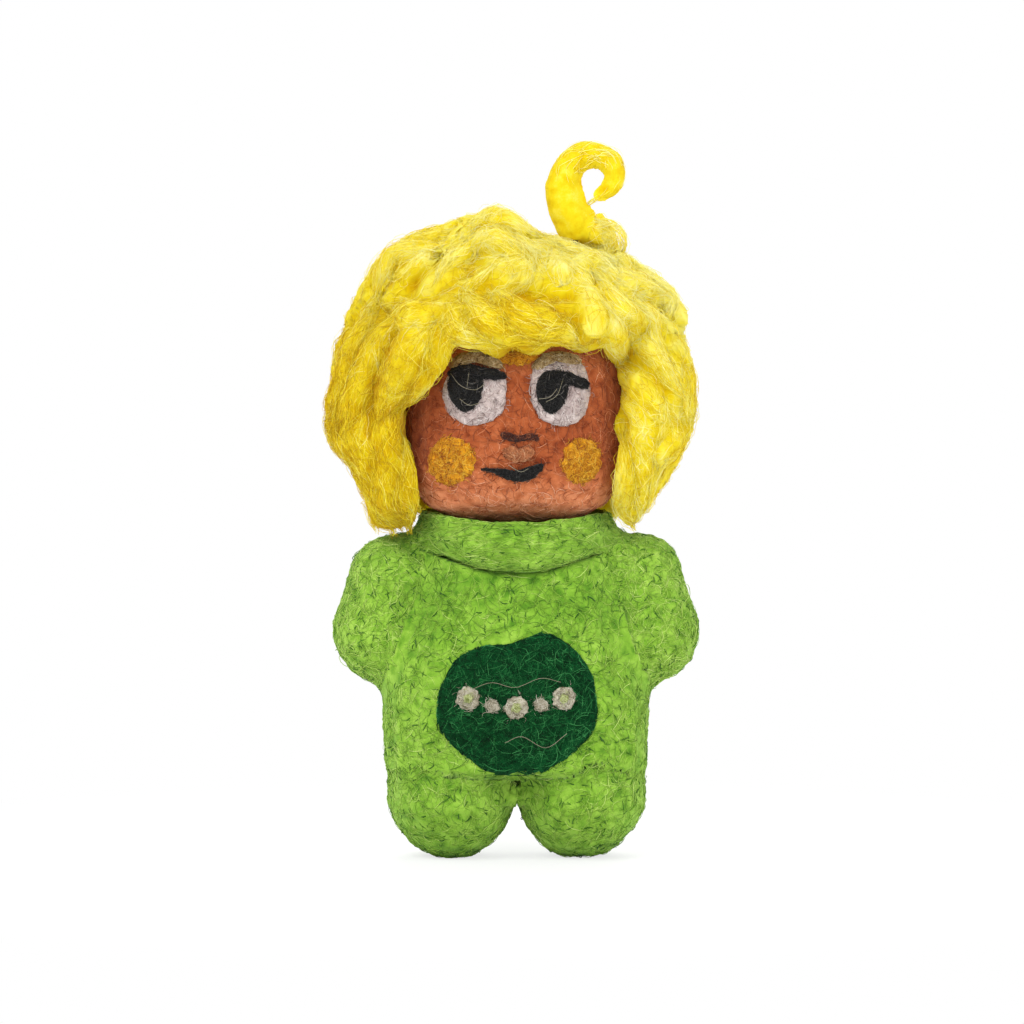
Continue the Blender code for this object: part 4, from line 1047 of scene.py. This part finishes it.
# The hair's outline in the photograph, from its lower left over the crown, about a centre
OUTLINE_CENTRE = (-0.4, 66.0)
HAIR_OUTLINE = (
    (-17.5, 45.6), (-20.2, 46.6), (-21.3, 50.0), (-22.4, 52.5), (-23.5, 55.0), (-25.2, 56.7), (-26.3, 58.4),
    (-26.6, 61.5), (-26.4, 64.5), (-25.8, 66.8), (-25.2, 71.8), (-24.6, 73.5), (-22.8, 76.9), (-21.1, 80.2),
    (-20.3, 83.0), (-18.5, 85.3), (-15.1, 86.9), (-10.0, 87.8), (-7.3, 88.6), (-5.6, 90.3), (-3.0, 91.2),
    (0.0, 90.3), (2.4, 88.9), (6.0, 87.6), (10.5, 86.9), (14.7, 85.3), (17.4, 81.9), (20.2, 80.2),
    (22.4, 78.5), (22.7, 76.9), (22.0, 73.5), (22.7, 70.5), (23.8, 66.8), (25.3, 63.4), (24.6, 60.1),
    (22.8, 57.4), (21.3, 55.0), (20.0, 52.5), (19.2, 50.0), (17.6, 47.0), (15.5, 45.6),
)

# Locks on the front: pixels of the photograph with half width in mm and height over the cap
FRONT_LOCKS = (
    (
        (372, 302, 2.2, 0.6), (378, 276, 2.8, 1.2), (396, 254, 3.0, 1.6), (422, 243, 2.6, 1.4),
        (446, 240, 1.6, 0.8),
    ),
    (
        (380, 284, 1.8, 1.6), (390, 304, 2.2, 2.2), (410, 316, 2.4, 2.4), (436, 316, 2.2, 2.2),
        (462, 298, 2.0, 2.0), (490, 270, 1.6, 1.6),
    ),
    (
        (440, 272, 1.6, 1.6), (450, 252, 2.2, 2.2), (472, 238, 2.6, 2.6), (498, 240, 2.6, 2.6),
        (518, 258, 2.2, 2.2), (522, 282, 1.8, 1.8), (500, 298, 1.4, 1.2),
    ),
    (
        (462, 234, 1.6, 0.4), (474, 216, 2.2, 0.8), (498, 208, 2.6, 1.0), (524, 216, 2.4, 1.2),
        (544, 234, 2.2, 1.8), (556, 262, 1.8, 2.0),
    ),
    (
        (620, 256, 2.2, 0.8), (596, 258, 2.6, 1.8), (576, 268, 2.4, 2.6), (580, 290, 2.2, 2.8),
        (592, 308, 2.2, 2.6), (590, 330, 2.2, 2.2), (568, 352, 1.3, 1.6),
    ),
    (
        (556, 248, 2.0, 1.6), (560, 276, 2.2, 2.4), (556, 304, 2.4, 2.6), (548, 326, 2.0, 2.2),
        (534, 342, 1.3, 1.6),
    ),
    (
        (498, 296, 2.0, 2.0), (516, 314, 2.4, 2.6), (540, 324, 2.6, 2.8), (562, 332, 2.0, 2.2),
        (574, 344, 1.2, 1.6),
    ),
    (
        (470, 300, 2.2, 2.0), (484, 318, 2.4, 2.4), (504, 330, 2.4, 2.4), (528, 336, 2.0, 2.0),
        (548, 340, 1.2, 1.6),
    ),
    (
        (452, 306, 2.2, 2.0), (456, 324, 2.4, 2.2), (472, 336, 2.2, 2.2), (492, 338, 1.8, 1.8),
        (508, 342, 1.0, 1.4),
    ),
    (
        (462, 318, 2.0, 2.2), (444, 336, 2.6, 2.6), (432, 358, 2.8, 2.6), (418, 382, 2.6, 2.2),
        (404, 404, 1.6, 1.6),
    ),
    (
        (440, 316, 2.2, 2.2), (420, 338, 2.8, 2.6), (404, 366, 3.0, 2.6), (390, 394, 2.6, 2.2),
        (380, 420, 1.8, 1.6),
    ),
    (
        (410, 314, 2.2, 2.0), (386, 334, 2.8, 2.2), (366, 364, 3.0, 2.2), (354, 396, 2.8, 1.8),
        (352, 430, 2.0, 1.2),
    ),
    (
        (378, 306, 2.2, 1.2), (356, 334, 2.6, 1.2), (342, 368, 2.8, 1.0), (336, 402, 2.6, 0.8),
        (340, 436, 1.8, 0.6),
    ),
    (
        (398, 404, 2.0, 1.6), (388, 432, 2.6, 2.0), (384, 462, 2.8, 2.2), (388, 494, 2.6, 2.2),
        (400, 526, 1.6, 1.8),
    ),
    (
        (366, 414, 2.2, 1.4), (360, 444, 2.8, 1.6), (366, 476, 2.8, 1.8), (380, 506, 2.4, 1.8),
        (390, 532, 1.4, 1.4),
    ),
    (
        (344, 424, 2.0, 0.6), (346, 450, 2.4, 0.8), (356, 478, 2.4, 1.0), (368, 500, 1.8, 1.0),
        (376, 522, 1.2, 0.8),
    ),
    (
        (600, 262, 2.2, 1.2), (628, 278, 2.6, 1.4), (652, 284, 2.4, 1.0), (672, 290, 2.0, 0.6),
        (676, 308, 1.4, 0.4),
    ),
    (
        (604, 282, 2.2, 2.2), (622, 306, 2.6, 2.4), (640, 328, 2.8, 2.2), (662, 348, 2.6, 1.6),
        (680, 374, 2.2, 0.8), (692, 402, 1.6, 0.4),
    ),
    (
        (600, 306, 2.0, 2.4), (610, 332, 2.4, 2.6), (624, 360, 2.6, 2.6), (642, 388, 2.8, 2.2),
        (662, 412, 2.4, 1.4), (680, 430, 1.6, 0.6),
    ),
    (
        (634, 296, 2.0, 1.6), (652, 318, 2.4, 1.4), (668, 344, 2.4, 1.0), (682, 372, 2.0, 0.6),
        (688, 394, 1.4, 0.4),
    ),
    (
        (618, 378, 1.8, 2.0), (634, 404, 2.4, 2.2), (648, 432, 2.8, 1.8), (654, 462, 2.6, 1.4),
        (646, 492, 2.0, 1.2), (636, 520, 1.2, 1.0),
    ),
    (
        (660, 402, 2.2, 1.0), (672, 430, 2.4, 0.8), (670, 460, 2.4, 0.8), (658, 486, 2.0, 0.8),
        (648, 506, 1.2, 0.6),
    ),
    ((402, 436, 1.6, 2.0), (402, 466, 2.4, 2.2), (406, 496, 2.4, 2.2), (410, 524, 1.4, 1.8)),
    (
        (626, 430, 1.8, 1.8), (630, 456, 2.2, 2.0), (628, 482, 2.2, 2.0), (622, 504, 1.8, 1.6),
        (630, 522, 1.0, 1.2),
    ),
)

# Drawing the hair to its outline: bearings in which it is measured, the room that its strands take, the
# share of it that stays still, how far under the solids it may be, and from how deep it is brought out
BEARINGS = 120
STRAND_ROOM = 0.25
STILL_SHARE = 0.66
SHY = 1.0
DEEPEST = 3.2

# Golden and pale patches of the hair, the same in its mass and in its strands
MOTTLE = Noise(90)


class Lock:
    """A roll of loose wool: a line of spots with the way out from the head and half widths, in mm."""

    def __init__(self, spots, outward, widths):
        self.line = smooth_line(spots, LOCK_STEPS)
        along = unit(np.gradient(self.line, axis=0))
        outward = smooth_line(outward, LOCK_STEPS)
        self.outward = unit(outward - along * (outward * along).sum(axis=1, keepdims=True))
        self.across = np.cross(along, self.outward)
        self.width = np.interp(np.linspace(0, 1, LOCK_STEPS), np.linspace(0, 1, len(widths)), widths)
        self.length = np.linalg.norm(np.diff(self.line, axis=0), axis=1).sum()

    def at(self, share, angle, reach):
        """Points at shares of the length, at an angle round it and at a reach in half widths, plus mm."""
        grid = np.linspace(0, 1, LOCK_STEPS)

        def pick(rows):
            return np.stack([np.interp(share, grid, rows[:, k]) for k in range(3)], axis=-1)

        width = np.interp(share, grid, self.width)
        ring = pick(self.across) * np.cos(angle)[..., None] + pick(self.outward) * np.sin(angle)[..., None]
        return pick(self.line) + ring * (width * reach[0] + reach[1])[..., None]


def drawn_in(share):
    """How full a lock is at shares of its length, as it draws in at both ends."""
    return np.clip(np.sin(np.pi * (0.06 + 0.88 * share)), 0, 1) ** 0.4


def roll_form(lock, sides=12):
    """Points and triangles of a lock's soft body: a tube that draws in at both ends."""
    share = np.linspace(0, 1, LOCK_STEPS)
    full = drawn_in(share)[:, None]
    share, angle = np.meshgrid(share, np.linspace(0, 2 * np.pi, sides, endpoint=False), indexing="ij")
    points = lock.at(share, angle, (0.9 * full, 0.0)).reshape(-1, 3)
    points = np.concatenate([points, lock.line[[0, -1]]])
    index = np.arange(LOCK_STEPS * sides).reshape(LOCK_STEPS, sides)
    after = np.roll(index, -1, axis=1)
    first, last = np.full(sides, index.size), np.full(sides, index.size + 1)
    halves = [(index[:-1], after[:-1], after[1:]), (index[:-1], after[1:], index[1:])]
    ends = [(after[0], index[0], first), (index[-1], after[-1], last)]
    return points, np.concatenate([np.stack(part, -1).reshape(-1, 3) for part in halves + ends])


def outline_squeeze(points):
    """A function that draws points to the photograph's outline, as these points' own outline needs."""
    outline = np.asarray(HAIR_OUTLINE) - OUTLINE_CENTRE
    bearings, reaches = np.arctan2(*outline.T), np.hypot(*outline.T)
    bins = np.linspace(-np.pi, np.pi, BEARINGS + 1)

    def polar(spots):
        away = spots[:, [0, 2]] - OUTLINE_CENTRE
        return np.arctan2(*away.T), np.hypot(*away.T)

    bearing, reach = polar(points)
    furthest = np.zeros(BEARINGS)
    np.maximum.at(furthest, np.clip(np.digitize(bearing, bins) - 1, 0, BEARINGS - 1), reach)
    for blend in (np.max, np.mean):
        furthest = blend([np.roll(furthest, k) for k in (-1, 0, 1)], axis=0)

    def squeeze(spots):
        bearing, reach = polar(spots)
        wanted = np.interp(bearing, bearings, reaches) - STRAND_ROOM
        actual = np.interp(bearing, (bins[1:] + bins[:-1]) / 2, furthest)
        inner = STILL_SHARE * wanted
        share = np.clip((wanted - inner) / np.maximum(actual - inner, 0.1), 0.4, 1.3)
        known = ramp(bearings[-1] + 0.12 - np.abs(bearing), 0.12)
        new = np.where(reach > inner, inner + (reach - inner) * (1 + (share - 1) * known), reach)
        scale = new / np.maximum(reach, 1e-6)
        moved = spots.copy()
        moved[:, [0, 2]] = OUTLINE_CENTRE + (spots[:, [0, 2]] - OUTLINE_CENTRE) * scale[:, None]
        return moved

    return squeeze


def filled_out(points, normals, trees):
    """Points brought out along their normals to no more than SHY below the solids' surface."""
    under = np.zeros(len(points))
    for number, (spot, normal) in enumerate(zip(points.tolist(), normals.tolist())):
        for tree in trees:
            _, facing, _, distance = tree.ray_cast(spot, normal, DEEPEST)
            if distance is not None and facing.dot(normal) > 0.3:
                under[number] = max(under[number], distance)
    return points + normals * np.clip(under - SHY, 0, None)[:, None]


def along_locks(points, locks):
    """Where each point lies along and round its nearest lock, as a flow for the wool's grain."""
    lines = np.array([lock.line for lock in locks])
    tree = KDTree(lines[..., 0].size)
    for number, spot in enumerate(lines.reshape(-1, 3).tolist()):
        tree.insert(spot, number)
    tree.balance()
    found = np.array([tree.find(p)[1] for p in points.tolist()])
    lock, step = found // LOCK_STEPS, found % LOCK_STEPS
    across = np.array([lock.across for lock in locks])[lock, step]
    outward = np.array([lock.outward for lock in locks])[lock, step]
    away = points - lines[lock, step]
    along = unit(np.gradient(lines, axis=1))[lock, step]
    run = step * np.array([lock.length / (LOCK_STEPS - 1) for lock in locks])[lock]
    run = run + (away * along).sum(axis=1)
    turn = np.arctan2((away * across).sum(axis=1), (away * outward).sum(axis=1))
    return np.column_stack([run * 0.16, turn * 2.4, lock * 7.3])


def relaxed(points, edges, rounds):
    """Points after rounds of each moving to the mean of its neighbours."""
    ends = np.concatenate([edges, edges[:, ::-1]])
    count = np.maximum(np.bincount(ends[:, 0], minlength=len(points)), 1)
    for _ in range(rounds):
        points = np.stack(
            [np.bincount(ends[:, 0], points[ends[:, 1], k], len(points)) / count for k in range(3)], axis=-1
        )
    return points


def painted_hair_light(points):
    """Painted light and shade: paler at the crown and on the hair's left, more golden low on its right and in
    the middle of the fringe.
    """
    across, high = points[:, 0], points[:, 2]
    fringe = np.exp(-((across - 2.0) ** 2) / 60.0 - (high - 75.0) ** 2 / 14.0) * (points[:, 1] < 0)
    return 0.13 * np.clip(across / 16, -1, 1) + 0.18 * np.clip((high - 76) / 10, -1, 0.7) - 0.3 * fringe


def add_hair_mass(locks):
    """The hair's soft mass of puffed wool in one piece for each CAD node; its tree and squeeze."""
    solids = [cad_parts[node].data for node in HAIR_NODES]
    parts = [(points_of(solid), corners_of(solid)) for solid in solids]
    mass = merged("hair", parts + [roll_form(lock) for lock in locks], 0.5, 5)
    mesh = mass.data
    squeeze = outline_squeeze(points_of(mesh))
    flow = along_locks(points_of(mesh), locks)
    set_points(mesh, squeeze(points_of(mesh)))
    trees = [tree_of(solid) for solid in solids]
    set_points(mesh, filled_out(points_of(mesh), normals_of(mesh), trees))
    points, normals = points_of(mesh), normals_of(mesh)
    even = relaxed(points, read(mesh.edges, "vertices", 2, np.int32), 24)
    height = ((points - even) * normals).sum(axis=1)
    lumps = 0.22 * MOTTLE(points, 2.4) + 0.12 * MOTTLE(points + 9, 1.0)
    set_points(mesh, points + normals * lumps[:, None])
    points = points_of(mesh)
    # Painted shade: darker in the hollows between the rolls and paler on their ridges
    tone = 0.46 + np.clip(height * 0.34, -0.36, 0.2)
    tone = tone + 0.24 * MOTTLE(points + 30, 3.2) + 0.12 * MOTTLE(points, 1.2) + painted_hair_light(points)
    faces = read(mesh.loops, "vertex_index", 1, np.int32).reshape(-1, 4)
    middles = points[faces].mean(axis=1)
    owner = np.argmin([nearest(tree, middles)[2] for tree in trees], axis=0)
    for number, node in enumerate(HAIR_NODES):
        kept, corners = np.unique(faces[owner == number], return_inverse=True)
        looks = ("yellow_wool", tone[kept], "head", [node], flow[kept])
        new_piece(f"{node}_felt", points[kept], [corners.reshape(-1, 4)], *looks)
    return mass, squeeze


def lock_strands(lock, count, rng, steps=7, length=5.0, radius=0.042, tone=0.72, around=1.25, over=None):
    """Strands that lie round a lock, mostly along it, with a few that stand off.

    over is the hair's tree and squeeze, where they settle on the hair's mass."""
    start = rng.uniform(-0.12, 0.9, count)
    run = length * rng.uniform(0.5, 1.5, (count, 1)) / lock.length
    share = start[:, None] + np.linspace(0, 1, steps) * run
    angle = np.pi / 2 + np.clip(rng.normal(0, 0.75, count), -around * 1.4, around * 1.4)[:, None]
    angle = angle + np.linspace(-0.5, 0.5, steps) * rng.normal(0.35, 0.9, (count, 1))
    angle = angle + np.cumsum(rng.normal(0, 0.12, (count, steps)), axis=1)
    loose = rng.random(count) < 0.2
    lift = np.where(loose, rng.uniform(0.15, 0.75, count), rng.uniform(0.0, 0.12, count))[:, None]
    lift = lift * np.sin(np.pi * np.linspace(0.05, 0.95, steps)) + rng.normal(0, 0.03, (count, steps))
    reach = rng.uniform(0.84, 0.91, (count, 1)) + np.zeros(steps)
    past = np.clip(share, 0, 1)
    paths = lock.at(past, angle, (reach * drawn_in(past), 0.0 if over else lift))
    tip = unit(lock.line[-1] - lock.line[-3]) * lock.length
    root = unit(lock.line[0] - lock.line[2]) * lock.length
    beyond = np.clip(share - 1, 0, None)[..., None] * tip
    paths = paths + np.clip(-share, 0, None)[..., None] * root
    if over:
        tree, squeeze = over
        hangs = lock.line[-1][2] < HANGING_BELOW
        paths = paths if hangs else paths + beyond
        spots, normals, _ = nearest(tree, squeeze(paths.reshape(-1, 3)))
        paths = (spots + normals * lift.reshape(-1, 1)).reshape(count, steps, 3)
        beyond = beyond * (0.35 if hangs else 0.0)
    paths = paths + beyond
    thin = np.where(loose, 0.7, 1.0) * rng.uniform(0.6, 1.4, count)
    radii = radius * thin[:, None] * (0.5 + 0.5 * np.sin(np.pi * np.linspace(0.08, 0.92, steps)))
    # Painted shade: strands on a lock's outer side are paler, those on its inner side, towards the head, darker
    tones = tone + 0.10 * np.sin(angle.mean(axis=1)) + rng.normal(0, 0.17, count) - 0.13
    middle = paths[:, steps // 2]
    tones = tones + painted_hair_light(middle) + 0.22 * MOTTLE(middle + 30, 3.2)
    return paths, radii, np.repeat(np.clip(tones, 0, 1.1)[:, None], steps, axis=1)


def hair_surface():
    """Functions for the hair's outer surface: its point seen from the front, and in a direction."""
    tree = tree_of(*(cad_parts[n].data for n in HAIR_NODES))
    centre = Vector(HAIR_CENTRE)

    def front(x, z):
        hit = tree.ray_cast((x, -60.0, z), (0, 1, 0))
        if hit[0]:
            return np.array(hit[0]), np.array(hit[1])
        spot, normal, _, _ = tree.find_nearest((x, -4.0, z))
        return np.array((x, spot.y, z)), np.array(normal)

    def outside(direction):
        away = Vector(direction).normalized()
        hit = tree.ray_cast(centre + away * 60, -away)
        return (np.array(hit[0]), np.array(hit[1])) if hit[0] else (None, None)

    return front, outside


def front_locks(front):
    """The locks that the photograph shows, laid on the hair's front."""
    locks = []
    for lock in FRONT_LOCKS:
        spots, outward = [], []
        for x, y, _, high in lock:
            spot, normal = front(*at_pixel(x, y))
            spots.append(spot + np.array((0, 1.0 - 0.6 * high, 0)))
            outward.append((normal[0] * 0.5, -abs(normal[1]) - 0.3, normal[2] * 0.5))
        locks.append(Lock(spots, unit(np.array(outward)), [w for _, _, w, _ in lock]))
    return locks


def on_cap(outside, turn, up, rise):
    """A spot a little over the cap in a direction, with the way out; None below its rim."""
    direction = np.array((math.cos(up) * math.cos(turn), math.cos(up) * math.sin(turn), math.sin(up)))
    spot, normal = outside(direction)
    return None if spot is None else (spot + normal * rise, unit(normal + direction))


def spots_of(rows):
    """Rows from on_cap as one array of spots and one of the ways out, without those that are None."""
    return [np.array(part) for part in zip(*(row for row in rows if row is not None))]


def falling_locks(outside, rng):
    """Wavy locks that fall from the crown over the sides and the back, in overlapping lengths."""
    locks = []
    for number in range(CAP_LOCKS):
        base = 2 * np.pi * (number + 0.17) / CAP_LOCKS
        rows = []
        for up in np.arange(1.32, -0.72, -0.16):
            turn = base + CAP_LOCK_LEAN * math.sin(CAP_LOCK_WAVES * up) + rng.normal(0, 0.035)
            rows.append(on_cap(outside, turn, up, rng.uniform(-1.8, -0.8)))
        for first in range(0, len(rows) - 3, 3):
            part = [row for row in rows[first : first + rng.integers(4, 6)] if row is not None]
            if len(part) < 3:
                continue
            spots, outward = spots_of(part)
            middle, tip = spots.mean(axis=0), 0.6
            if middle[1] < -6 and middle[2] < 83 and abs(middle[0]) < 19:
                continue
            if spots[-1][2] < 56 and spots[-1][1] > -4:
                behind = float(spots[-1][1] > 6)
                tuck, tip = 0.985 - 0.07 * behind, 0.9 - 0.2 * behind
                end = 45.4 + rng.uniform(0, 1.8) + 1.4 * behind
                hang = spots[-1] * (tuck, tuck, 1) + (0, 0, end - spots[-1][2])
                spots, outward = np.vstack([spots, hang]), np.vstack([outward, outward[-1]])
            sway = rng.uniform(0.3, 1.1) * np.sin(np.linspace(0, 2 * np.pi, len(spots)) + rng.uniform(0, 6))
            spots = spots + np.cross(outward, unit(np.gradient(spots, axis=0))) * sway[:, None]
            size = rng.uniform(2.5, 3.3)
            locks.append(Lock(spots, outward, size * np.array([0.62, 1.0, 1.0, tip])))
    return locks


def nape_locks(outside, rng, count=34):
    """Short full locks that lean over each other at the nape, down to the collar."""
    locks = []
    for number, turn in enumerate(np.linspace(-0.15, math.pi + 0.15, count)):
        turn, rise = turn + rng.normal(0, 0.05), -1.5 - 1.1 * (number % 2)
        lean = rng.uniform(0.05, 0.16) * rng.choice((-1, 1))
        ups = enumerate((-0.16, -0.34, -0.5, -0.6))
        rows = [on_cap(outside, turn + lean * step, up, rise) for step, up in ups]
        if any(row is None for row in rows):
            continue
        spots, outward = spots_of(rows)
        tuck, swing = rng.uniform(0.84, 0.93), lean * rng.uniform(-1.5, 1.0)
        x, y, z = spots[-1] * (tuck, tuck, 1)
        end = (x - y * swing, y + x * swing, 46.6 + 1.5 * abs(math.cos(turn)) + rng.uniform(0, 1.9))
        spots, outward = np.vstack([spots, end]), np.vstack([outward, outward[-1]])
        locks.append(Lock(spots, outward, (1.8, 2.9, 3.4, 3.2, 2.5)))
    turns = np.linspace(0.05, math.pi - 0.05, 12)
    for height, tuck in ((49.6, 0.86), (52.8, 0.9)):
        spots, outward = spots_of([on_cap(outside, turn, -0.56, -1.5) for turn in turns])
        spots = np.column_stack([spots[:, :2] * tuck, np.full(len(spots), height)])
        locks.append(Lock(spots, outward, (2.4, 2.6, 2.6, 2.4)))
    return locks


def loose_curls(outside, rng, count=64):
    """Small hooked curls, scattered over the crown, the sides and the back."""
    locks = []
    for number in range(count):
        up = math.asin(1 - 1.62 * (number + 0.5) / count)
        turn = number * 2.399963 + rng.normal(0, 0.2)
        seat = on_cap(outside, turn, up, -0.4)
        if seat is None:
            continue
        spot, outward = seat
        if spot[1] < -5 and spot[2] < 82 and abs(spot[0]) < 18:
            continue
        side = unit(np.cross(outward, (0.0, 0.0, 1.0)) + 1e-6)
        below = np.cross(side, outward)
        size, hand, lean = rng.uniform(2.6, 4.0), rng.choice((-1, 1)), rng.uniform(0, 2 * np.pi)
        angles = lean + np.linspace(0, rng.uniform(3.2, 4.6), 6) * hand
        spiral = size * np.linspace(1.25, 0.55, 6)
        ring = side * np.cos(angles)[:, None] + below * np.sin(angles)[:, None]
        spots = spot + ring * spiral[:, None] + outward * np.linspace(-0.6, 0.7, 6)[:, None]
        drop = (ring * spiral[:, None]) @ outward
        curve = -((spiral**2) / 44.0)[:, None] * outward - drop[:, None] * outward
        widths = rng.uniform(1.6, 2.2) * np.array([0.7, 1.0, 1.0, 0.55])
        locks.append(Lock(spots + curve, np.tile(outward, (6, 1)), widths))
    return locks


def add_hair():
    """The hair's mass, the fluff over it and the strands of each lock."""
    rng = np.random.default_rng(91)
    front, outside = hair_surface()
    groups = {name: [] for name in ("front_left", "front_right", "crown", "side_left", "side_right", "back")}
    for lock in front_locks(front):
        groups["front_left" if lock.line[:, 0].mean() > 0 else "front_right"].append((lock, 200))
    for lock in falling_locks(outside, rng) + nape_locks(outside, rng) + loose_curls(outside, rng):
        middle = lock.line.mean(axis=0)
        side = "side_left" if middle[0] > 0 else "side_right"
        place = "crown" if middle[2] > 80 else "back" if middle[1] > 5 else side
        groups[place].append((lock, 100))
    mass, squeeze = add_hair_mass([lock for locks in groups.values() for lock, _ in locks])
    tree = tree_of(mass.data)
    for name, turn in (("front", -1), ("back", 1)):
        keep = both(facing_out(HEAD_CENTRE), lambda p, n, turn=turn: p[:, 1] * turn > 0)
        loose = dict(length=3.6, radius=0.034, lift=0.2, wander=0.7, tone=(0.56, 0.18))
        fluff = lay_fibres(mass, 4200, rng, keep, over=tree, shade=painted_hair_light, **loose)
        strand_piece(f"hair_fluff_{name}", [fluff], "yellow_fibre", "head")
    bpy.data.objects.remove(mass)
    for group, locks in groups.items():
        strands = [lock_strands(lock, count, rng, over=(tree, squeeze)) for lock, count in locks]
        fits = math.ceil(sum(len(paths) for paths, _, _ in strands) / MOST_STRANDS)
        for part in range(fits):
            name = f"hair_strands_{group}" + (f"_{part + 1}" if fits > 1 else "")
            strand_piece(name, strands[part::fits], "yellow_fibre", "head")


# Curl: pixels with half width in mm
CURL = (
    (596, 270, 2.4), (612, 244, 2.6), (598, 232, 2.5), (580, 224, 2.5), (566, 208, 2.5), (562, 188, 2.2),
    (566, 170, 1.9), (581, 157, 1.7), (598, 155, 1.5), (612, 163, 1.4), (617, 177, 1.2), (610, 190, 1.0),
    (599, 197, 0.6),
)


def add_curl():
    """The curl that stands on the crown, and the lock that it grows from."""
    rng = np.random.default_rng(97)
    puff = dict(wool="yellow_wool", voxel=0.3, smoothing=5, lump=0.2, lump_size=3.0, dimple=0.1, base=0.5)
    curl = felt("curl_felt", "curl", "curl", seed=98, **puff)
    edge = at_pixel(614, 246)[0]

    def tuck_tip(points):
        """Draws the root lock's pointed tip in under the curl."""
        past = np.clip(points[:, 0] - edge, 0, None)
        return points - past[:, None] * (0.7, 0, 0.5)

    root = felt("curl_root_felt", "curl_root_lock", "head", seed=99, reshape=tuck_tip, **puff)
    skin = shared_skin([curl, root], grow=1.2)
    for piece in (curl, root):
        meet(piece, skin, reach=1.8, inward=piece is root)
    low, high = box_of("curl")
    depth = (low[1] + high[1]) / 2
    for name, body, pixels, count in (("curl", "curl", CURL[3:], 900), ("curl_root", "head", CURL[:4], 300)):
        places = [at_pixel(x, y) for x, y, _ in pixels]
        line, widths = [(x, depth, z) for x, z in places], [width for _, _, width in pixels]
        lock = Lock(line, np.tile((0.0, -1.0, 0.0), (len(line), 1)), widths)
        strands = lock_strands(lock, count, rng, length=4.0, around=3.2, tone=0.62)
        strand_piece(f"{name}_strands", [strands], "yellow_fibre", body)


# Studio
WHITE = (1, 1, 1, 1)
LAMPS = (
    ("key", (-260, -420, 420), 0.42, 2.9),
    ("fill", (380, -360, 200), 0.5, 1.4),
    ("rim", (60, 420, 380), 0.5, 2.8),
)
DAYLIGHT = 0.66

# The floor's half width in metres, where it starts to fade into the backdrop and where it has
FLOOR_HALF = 3.0
FLOOR_NEAR = 30.0
FLOOR_FAR = 110.0


def place_towards(name, data, place, way):
    """Links a lamp or a camera at a place in metres, turned to look along a way."""
    holder = bpy.data.objects.new(name, data)
    bpy.context.scene.collection.objects.link(holder)
    holder.location = place
    holder.rotation_euler = way.to_track_quat("-Z", "Y").to_euler()
    return holder


def add_world():
    """Soft light from all sides, in front of a white background."""
    world = bpy.data.worlds.new("studio")
    bpy.context.scene.world = world
    world.use_nodes = True
    tree = world.node_tree
    lit = tree.nodes["Background"]
    feed(tree, lit, {"Color": WHITE, "Strength": DAYLIGHT})
    seen = new_node(tree, "Background", {"Color": WHITE})
    mix_into(tree, "World Output", rays_of(tree, "Camera", "Glossy", "Transmission"), lit, seen)


def add_floor():
    """A pale floor that keeps the object's shadow near it and fades into the backdrop."""
    mesh = bpy.data.meshes.new("floor")
    corners = [(x * FLOOR_HALF, y * FLOOR_HALF, 0) for x, y in ((-1, -1), (1, -1), (1, 1), (-1, 1))]
    mesh.from_pydata(corners, [], [(0, 1, 2, 3)])
    floor = bpy.data.objects.new("floor", mesh)
    bpy.context.scene.collection.objects.link(floor)
    material, tree, shader = new_material("floor")
    feed(tree, shader, {"Base Color": (0.95, 0.95, 0.95, 1), "Roughness": 0.9, "Specular IOR Level": 0.0})
    glow = new_node(tree, "Emission", {"Color": WHITE})
    away = tree.nodes.new("ShaderNodeVectorMath")
    away.operation = "LENGTH"
    feed(tree, away, {0: object_place(tree)})
    feeds = {"Value": away.outputs["Value"], "From Min": FLOOR_NEAR * MM, "From Max": FLOOR_FAR * MM}
    fade = new_node(tree, "MapRange", feeds | {"To Min": 0.72, "To Max": 1.0})
    fade.interpolation_type = "SMOOTHSTEP"
    share = math_node(tree, "MULTIPLY", rays_of(tree, "Camera", "Glossy"), fade.outputs["Result"])
    mix_into(tree, "Material Output", share, shader, glow)
    mesh.materials.append(material)


def add_studio():
    """Pale floor and backdrop, soft lamps, and the camera at the photograph's angle."""
    scene = bpy.context.scene
    scene.view_settings.view_transform = "Standard"
    add_world()
    add_floor()
    centre = Vector(VIEW_CENTRE)
    for name, place, size, watts in LAMPS:
        lamp = bpy.data.lights.new(name, "AREA")
        lamp.shape = "DISK"
        lamp.size = size
        lamp.energy = watts
        place = Vector(place) * MM
        place_towards(name, lamp, place, centre * MM - place)
    camera = bpy.data.cameras.new("camera")
    camera.sensor_width = SENSOR_WIDTH
    camera.lens = SENSOR_WIDTH * CAMERA_DISTANCE / VIEW_WIDTH
    camera.clip_start, camera.clip_end = 0.05, 10.0
    tilt = math.radians(CAMERA_ELEVATION)
    back = Vector((0, -math.cos(tilt), math.sin(tilt)))
    scene.camera = place_towards("camera", camera, (centre + back * CAMERA_DISTANCE) * MM, -back)


add_studio()
torso = add_body()
add_cores()
head = add_face()
add_patch(torso)
add_stray_hairs(head, torso)
add_hair()
add_curl()
